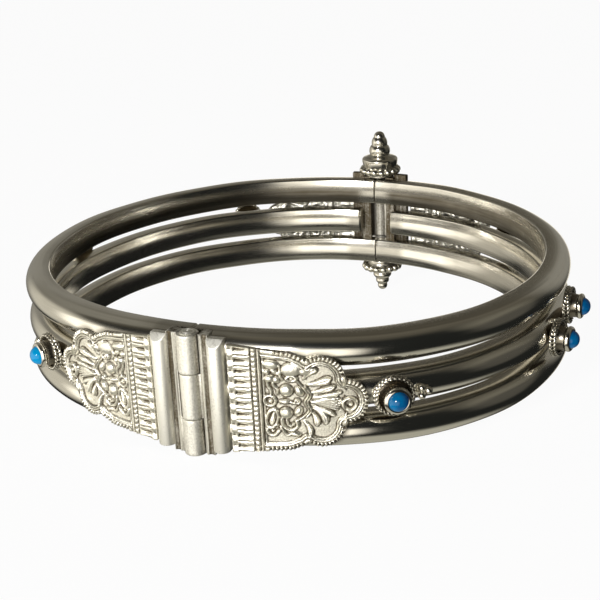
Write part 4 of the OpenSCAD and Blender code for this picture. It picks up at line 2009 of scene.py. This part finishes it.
@dataclass(frozen=True)
class Finials:
    """Turned finials above and below the clasp barrel, each with a ring of granules."""

    ring: RingFrame
    outline: Outline
    gap: float = 0.05
    groove_tarnish: float = 14.0
    granules: int = 16
    granule_ring: float = 2.5
    granule_radius: float = 0.55
    upper_granules: float = 0.9
    lower_granules: float = 1.15
    pin_radius: float = 0.55
    pin_point: float = 0.4

    def upper_profile(self) -> Array:
        """Profile of the upper finial: foot, shoulder, groove and three beads.

        Returns:
            Radius and height of each point.
        """
        return np.array([
            [2.05, 0.0], [2.15, 0.1], [2.15, 0.4], [2.40, 1.1], [2.46, 1.4], [2.56, 1.9],
            [2.61, 2.35], [2.56, 2.62], [2.30, 2.80], [1.90, 2.92], [1.60, 3.05], [1.42, 3.2],
            [1.44, 3.3], [1.52, 3.55], [1.53, 3.8], [1.48, 4.1], [1.34, 4.42], [1.20, 4.55],
            [1.15, 4.63], [1.16, 4.85], [1.14, 5.15], [1.02, 5.5], [0.88, 5.72], [0.82, 5.8],
            [0.80, 5.95], [0.68, 6.25], [0.45, 6.48], [0.2, 6.58], [0.0, 6.6],
        ])

    def lower_profile(self) -> Array:
        """Profile of the lower finial: foot, cone and three beads.

        Returns:
            Radius and depth of each point.
        """
        return np.array([
            [2.05, 0.0], [2.15, 0.1], [2.15, 0.5], [2.50, 1.2], [2.45, 1.6], [2.1, 1.82],
            [1.7, 1.95], [1.35, 2.1], [1.30, 2.2], [1.38, 2.45], [1.34, 2.75], [1.12, 3.05],
            [0.98, 3.16], [0.94, 3.22], [1.0, 3.5], [0.94, 3.8], [0.74, 4.02], [0.68, 4.1],
            [0.73, 4.35], [0.66, 4.7], [0.45, 4.95], [0.2, 5.08], [0.0, 5.1],
        ])

    def on_axis(self, across: Array, out: Array, z: Array) -> Array:
        """Points beside the clasp barrel's axis.

        Args:
            across: Distance along the ring from the axis.
            out: Distance outwards from the axis.
            z: Height above the middle rail.

        Returns:
            Points, with x, y and z last.
        """
        depth = BARRELS[End.CLASP].axis_depth
        return self.outline.at_end(End.CLASP, across, out - depth, z, Side.RIGHT)

    def add_turning(self, work: Workpiece, profile: Array, foot: float, sign: int) -> None:
        """Adds a turned body, tarnished where its profile curves inwards.

        Args:
            work: The piece that it becomes part of.
            profile: Radius and distance from the foot of each point.
            foot: Height of the foot.
            sign: 1 for a body that rises from its foot, -1 for one that hangs from it.
        """
        curve = np.concatenate([[[0.0, 0.0]], smooth_profile(profile, 4)])
        inwards = np.gradient(np.gradient(curve[:, 0]))
        groove = np.clip(self.groove_tarnish * inwards, 0, 1)
        across, out, rise = turned(curve, 64)
        points = self.on_axis(across, out, foot + sign * rise)
        work.grid(points, hollow=0.12 + 0.8 * groove[:, None] + 0 * across, round_v=True)

    def add_granules(self, work: Workpiece, height: float) -> None:
        """Adds the ring of granules round the foot.

        Args:
            work: The piece that they become part of.
            height: Height of their middles.
        """
        depth = BARRELS[End.CLASP].axis_depth
        for turn in np.arange(self.granules) * 2 * math.pi / self.granules:
            x, y, z = ball(self.granule_radius, 16)
            x = x + self.granule_ring * math.cos(turn)
            y = y + self.granule_ring * math.sin(turn) - depth
            inner = np.hypot(x, y + depth) < self.granule_ring
            points = self.outline.at_end(End.CLASP, x, y, z + height, Side.RIGHT)
            work.grid(points, hollow=np.where(inner, 0.6, 0.05), round_v=True)

    def build_upper(self, material: bpy.types.Material) -> None:
        """Builds the draw-out pin: a pointed rod under the upper finial.

        Args:
            material: Its finish.
        """
        barrel = BARRELS[End.CLASP]
        pin = Workpiece("clasp_pin_turned", self.ring)
        foot = barrel.top + self.gap
        self.add_turning(pin, self.upper_profile(), foot, 1)
        self.add_granules(pin, foot + self.upper_granules)
        radius, low, high = self.pin_radius, barrel.bottom + 0.05, foot + 0.2
        rod = np.array([
            [0.0, low], [self.pin_point, low], [radius, low + 0.25], [radius, low + 0.45],
            [radius, barrel.top], [radius, high], [0.0, high],
        ])
        pin.grid(self.on_axis(*turned(rod, 32)), hollow=0.1, round_v=True)
        pin.finish(material, "clasp_pin", "clasp_pin", crease=45)

    def build_lower(self, material: bpy.types.Material) -> None:
        """Builds the lower finial, which hangs under the barrel.

        Args:
            material: Its finish.
        """
        foot = BARRELS[End.CLASP].bottom - self.gap
        lower = Workpiece("lower_finial_turned", self.ring)
        self.add_turning(lower, self.lower_profile(), foot, -1)
        self.add_granules(lower, foot - self.lower_granules)
        lower.finish(material, Side.LEFT.body, "lower_finial", crease=45)

    def build_all(self, material: bpy.types.Material) -> None:
        """Builds both finials."""
        self.build_upper(material)
        self.build_lower(material)


@dataclass(frozen=True)
class Camera:
    """The photograph's view, in millimetres and degrees."""

    azimuth: float = 22.2265
    elevation: float = 16.7631
    roll: float = -1.1894
    distance: float = 155.569
    lens: float = 73.038
    sensor: float = 36.0
    shift: Pair = (-0.005065, -0.021618)
    clip: Pair = (5.0, 20000.0)

    def build(self, ring: RingFrame) -> None:
        """Places the camera, aimed at the ring's middle.

        Args:
            ring: The ring's frame.
        """
        azimuth, elevation, roll = map(math.radians, (self.azimuth, self.elevation, self.roll))
        forward = Vector((
            -math.sin(azimuth) * math.cos(elevation),
            math.cos(azimuth) * math.cos(elevation),
            -math.sin(elevation),
        ))
        level = Vector((math.cos(azimuth), math.sin(azimuth), 0))
        upright = level.cross(forward)
        right = level * math.cos(roll) + upright * math.sin(roll)
        up = right.cross(forward)
        place = Vector(ring.middle) - forward * self.distance * MM
        data = bpy.data.cameras.new("photo_view")
        data.lens = self.lens
        data.sensor_width = self.sensor
        data.shift_x, data.shift_y = self.shift
        data.clip_start, data.clip_end = (distance * MM for distance in self.clip)
        camera = bpy.data.objects.new("photo_view", data)
        axes = Matrix((right, up, -forward)).transposed().to_4x4()
        camera.matrix_world = Matrix.Translation(place) @ axes
        bpy.context.scene.collection.objects.link(camera)
        bpy.context.scene.camera = camera


@dataclass(frozen=True)
class Glow:
    """A soft bright or dark region of the surroundings, in degrees.

    It is round, and is cut off softly below its base and above its ceiling if it has them.
    """

    azimuth: float
    elevation: float
    inner: float
    outer: float
    colour: Colour
    base: float | None = None
    ceiling: float | None = None

    CUT_SOFTNESS = 8

    @property
    def direction(self) -> tuple[float, float, float]:
        """Unit vector towards the region's middle.

        Returns:
            Its three parts.
        """
        azimuth, elevation = math.radians(self.azimuth), math.radians(self.elevation)
        flat = math.cos(elevation)
        return flat * math.cos(azimuth), flat * math.sin(azimuth), math.sin(elevation)

    def share(self, shader: Shader, way: Socket, rise: Socket) -> Socket:
        """Share of the region in each direction, 0 outside it and 1 well inside.

        Args:
            shader: The world's nodes.
            way: Direction that is looked in.
            rise: Its upward part.

        Returns:
            The share.
        """
        ends = {0: way, 1: self.direction}
        toward = shader.add("ShaderNodeVectorMath", {"operation": "DOT_PRODUCT"}, ends, "Value")
        part = toward.step(*(math.cos(math.radians(a)) for a in (self.outer, self.inner)))
        for cut, soft in ((self.base, self.CUT_SOFTNESS), (self.ceiling, -self.CUT_SOFTNESS)):
            if cut is not None:
                limits = (math.sin(math.radians(a)) for a in (cut - soft, cut + soft))
                part = part * rise.step(*limits)
        return part


@dataclass(frozen=True)
class Studio:
    """Pale floor, soft light and the surroundings that the metal reflects. Sizes are in metres."""

    surroundings: Colour = (0.014, 0.015, 0.014)
    glows: tuple[Glow, ...] = (
        Glow(112, 60, 25, 75, (0.110, 0.100, 0.078)),
        Glow(135, 5, 10, 34, (0.26, 0.25, 0.22)),
        Glow(-176, -4, 20, 42, (0.60, 0.57, 0.49)),
        Glow(-114, -4, 46, 64, (1.60, 1.53, 1.36), -30, 14),
        Glow(105, -14, 12, 26, (1.00, 0.94, 0.80)),
        Glow(109, 8, 3, 8, (1.60, 1.52, 1.34)),
        Glow(20, 28, 6, 30, (0.16, 0.15, 0.12)),
        Glow(18, 8, 10, 28, (0.08, 0.076, 0.065)),
        Glow(75, 12, 12, 30, (0.25, 0.24, 0.21)),
        Glow(158, 46, 10, 30, (0.22, 0.21, 0.18)),
    )
    floor_glow: Colour = (0.42, 0.41, 0.35)
    floor_glow_rises: Pair = (-0.62, -0.86)
    floor_colour: Colour = (0.93, 0.93, 0.93)
    floor_lit: float = 0.94
    floor_radius: float = 1.2
    backdrop_reach: float = 1.0
    backdrop_height: float = 1.4
    floor_rows: int = 12
    floor_steps: int = 64
    key_place: tuple[float, float, float] = (-0.05, -0.48, 0.14)
    key_size: float = 0.08
    key_watts: float = 2.2

    def build_world(self) -> None:
        """Builds the surroundings: glows over a dark ground, and a pale floor far below."""
        world = bpy.data.worlds.new("surroundings")
        bpy.context.scene.world = world
        shader = Shader(world)
        way = shader.add("ShaderNodeTexCoord", output="Generated")
        rise = shader.add("ShaderNodeSeparateXYZ", {}, {0: way}, "Z")
        colour: Any = self.surroundings
        for glow in self.glows:
            colour = shader.blend(glow.share(shader, way, rise), colour, glow.colour)
        colour = shader.blend(rise.step(*self.floor_glow_rises), colour, self.floor_glow)
        light = shader.add("ShaderNodeBackground", {}, {"Color": colour, "Strength": 1.0})
        shader.add("ShaderNodeOutputWorld", {}, {"Surface": light})

    def floor_material(self) -> bpy.types.Material:
        """Makes the floor's pale paper, which mostly shines by itself.

        Returns:
            The material.
        """
        material = bpy.data.materials.new("pale_floor")
        shader = Shader(material)
        paper = shader.add("ShaderNodeBsdfDiffuse", {}, {"Color": (*self.floor_colour, 1)})
        lit = shader.add("ShaderNodeEmission", {}, {"Color": (1, 1, 1, 1), "Strength": 1.0})
        skin = shader.add("ShaderNodeMixShader", {}, {0: self.floor_lit, 1: paper, 2: lit})
        shader.add("ShaderNodeOutputMaterial", {}, {"Surface": skin})
        return material

    def build_floor(self) -> None:
        """Builds the floor: a wide disc that rises far behind into a soft backdrop."""
        rise = np.linspace(0.1, 1.57, self.floor_rows)
        flat = np.linspace(0, self.floor_radius, self.floor_rows)
        far = self.floor_radius + self.backdrop_reach * np.sin(rise)
        radius = np.concatenate([flat, far])[:, None]
        height = np.concatenate([0 * flat, self.backdrop_height * (1 - np.cos(rise))])[:, None]
        turn = np.linspace(0, 2 * math.pi, self.floor_steps + 1)
        across = 0 * turn
        points = np.stack([radius * np.cos(turn), radius * np.sin(turn), height + across], axis=-1)
        ids = np.arange(radius.size * turn.size).reshape(radius.size, turn.size)
        mesh = bpy.data.meshes.new("floor")
        mesh.from_pydata(points.reshape(-1, 3), [], quads(ids))
        mesh.shade_smooth()
        mesh.materials.append(self.floor_material())
        floor = bpy.data.objects.new("floor", mesh)
        floor.visible_glossy = False
        bpy.context.scene.collection.objects.link(floor)
        floor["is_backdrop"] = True

    def build_light(self) -> None:
        """Builds a soft square light, aimed at the bangle."""
        data = bpy.data.lights.new("key", "AREA")
        data.shape = "SQUARE"
        data.size = self.key_size
        data.energy = self.key_watts
        light = bpy.data.objects.new("key", data)
        light.location = self.key_place
        light.rotation_euler = (-Vector(self.key_place)).to_track_quat("-Z", "Y").to_euler()
        bpy.context.scene.collection.objects.link(light)

    def build(self) -> None:
        """Builds floor, surroundings and light."""
        bpy.context.scene.view_settings.view_transform = "Standard"
        self.build_world()
        self.build_floor()
        self.build_light()


def corners() -> list[list[float]]:
    """Lowest and highest corner of what shows, as plain lists."""
    return [list(corner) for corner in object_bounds()]


def main() -> None:
    """Builds the bangle around its frame, then the view and the studio."""
    logging.basicConfig(level=logging.INFO, format="%(message)s")
    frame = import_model()
    ring = RingFrame.from_record(frame["record"])
    outline = Outline()
    finishes = Finishes.made()
    plates = Plates(ring, outline)
    Rails(ring, outline, plates).build_all(finishes.rails)
    EndFittings(ring, outline).build_all(finishes.ends)
    plates.build_all(finishes.plates)
    Settings(ring, outline).build_all(finishes.settings, finishes.stones)
    Finials(ring, outline).build_all(finishes.finials)
    Camera().build(ring)
    Studio().build()


if __name__ == "__main__":
    main()
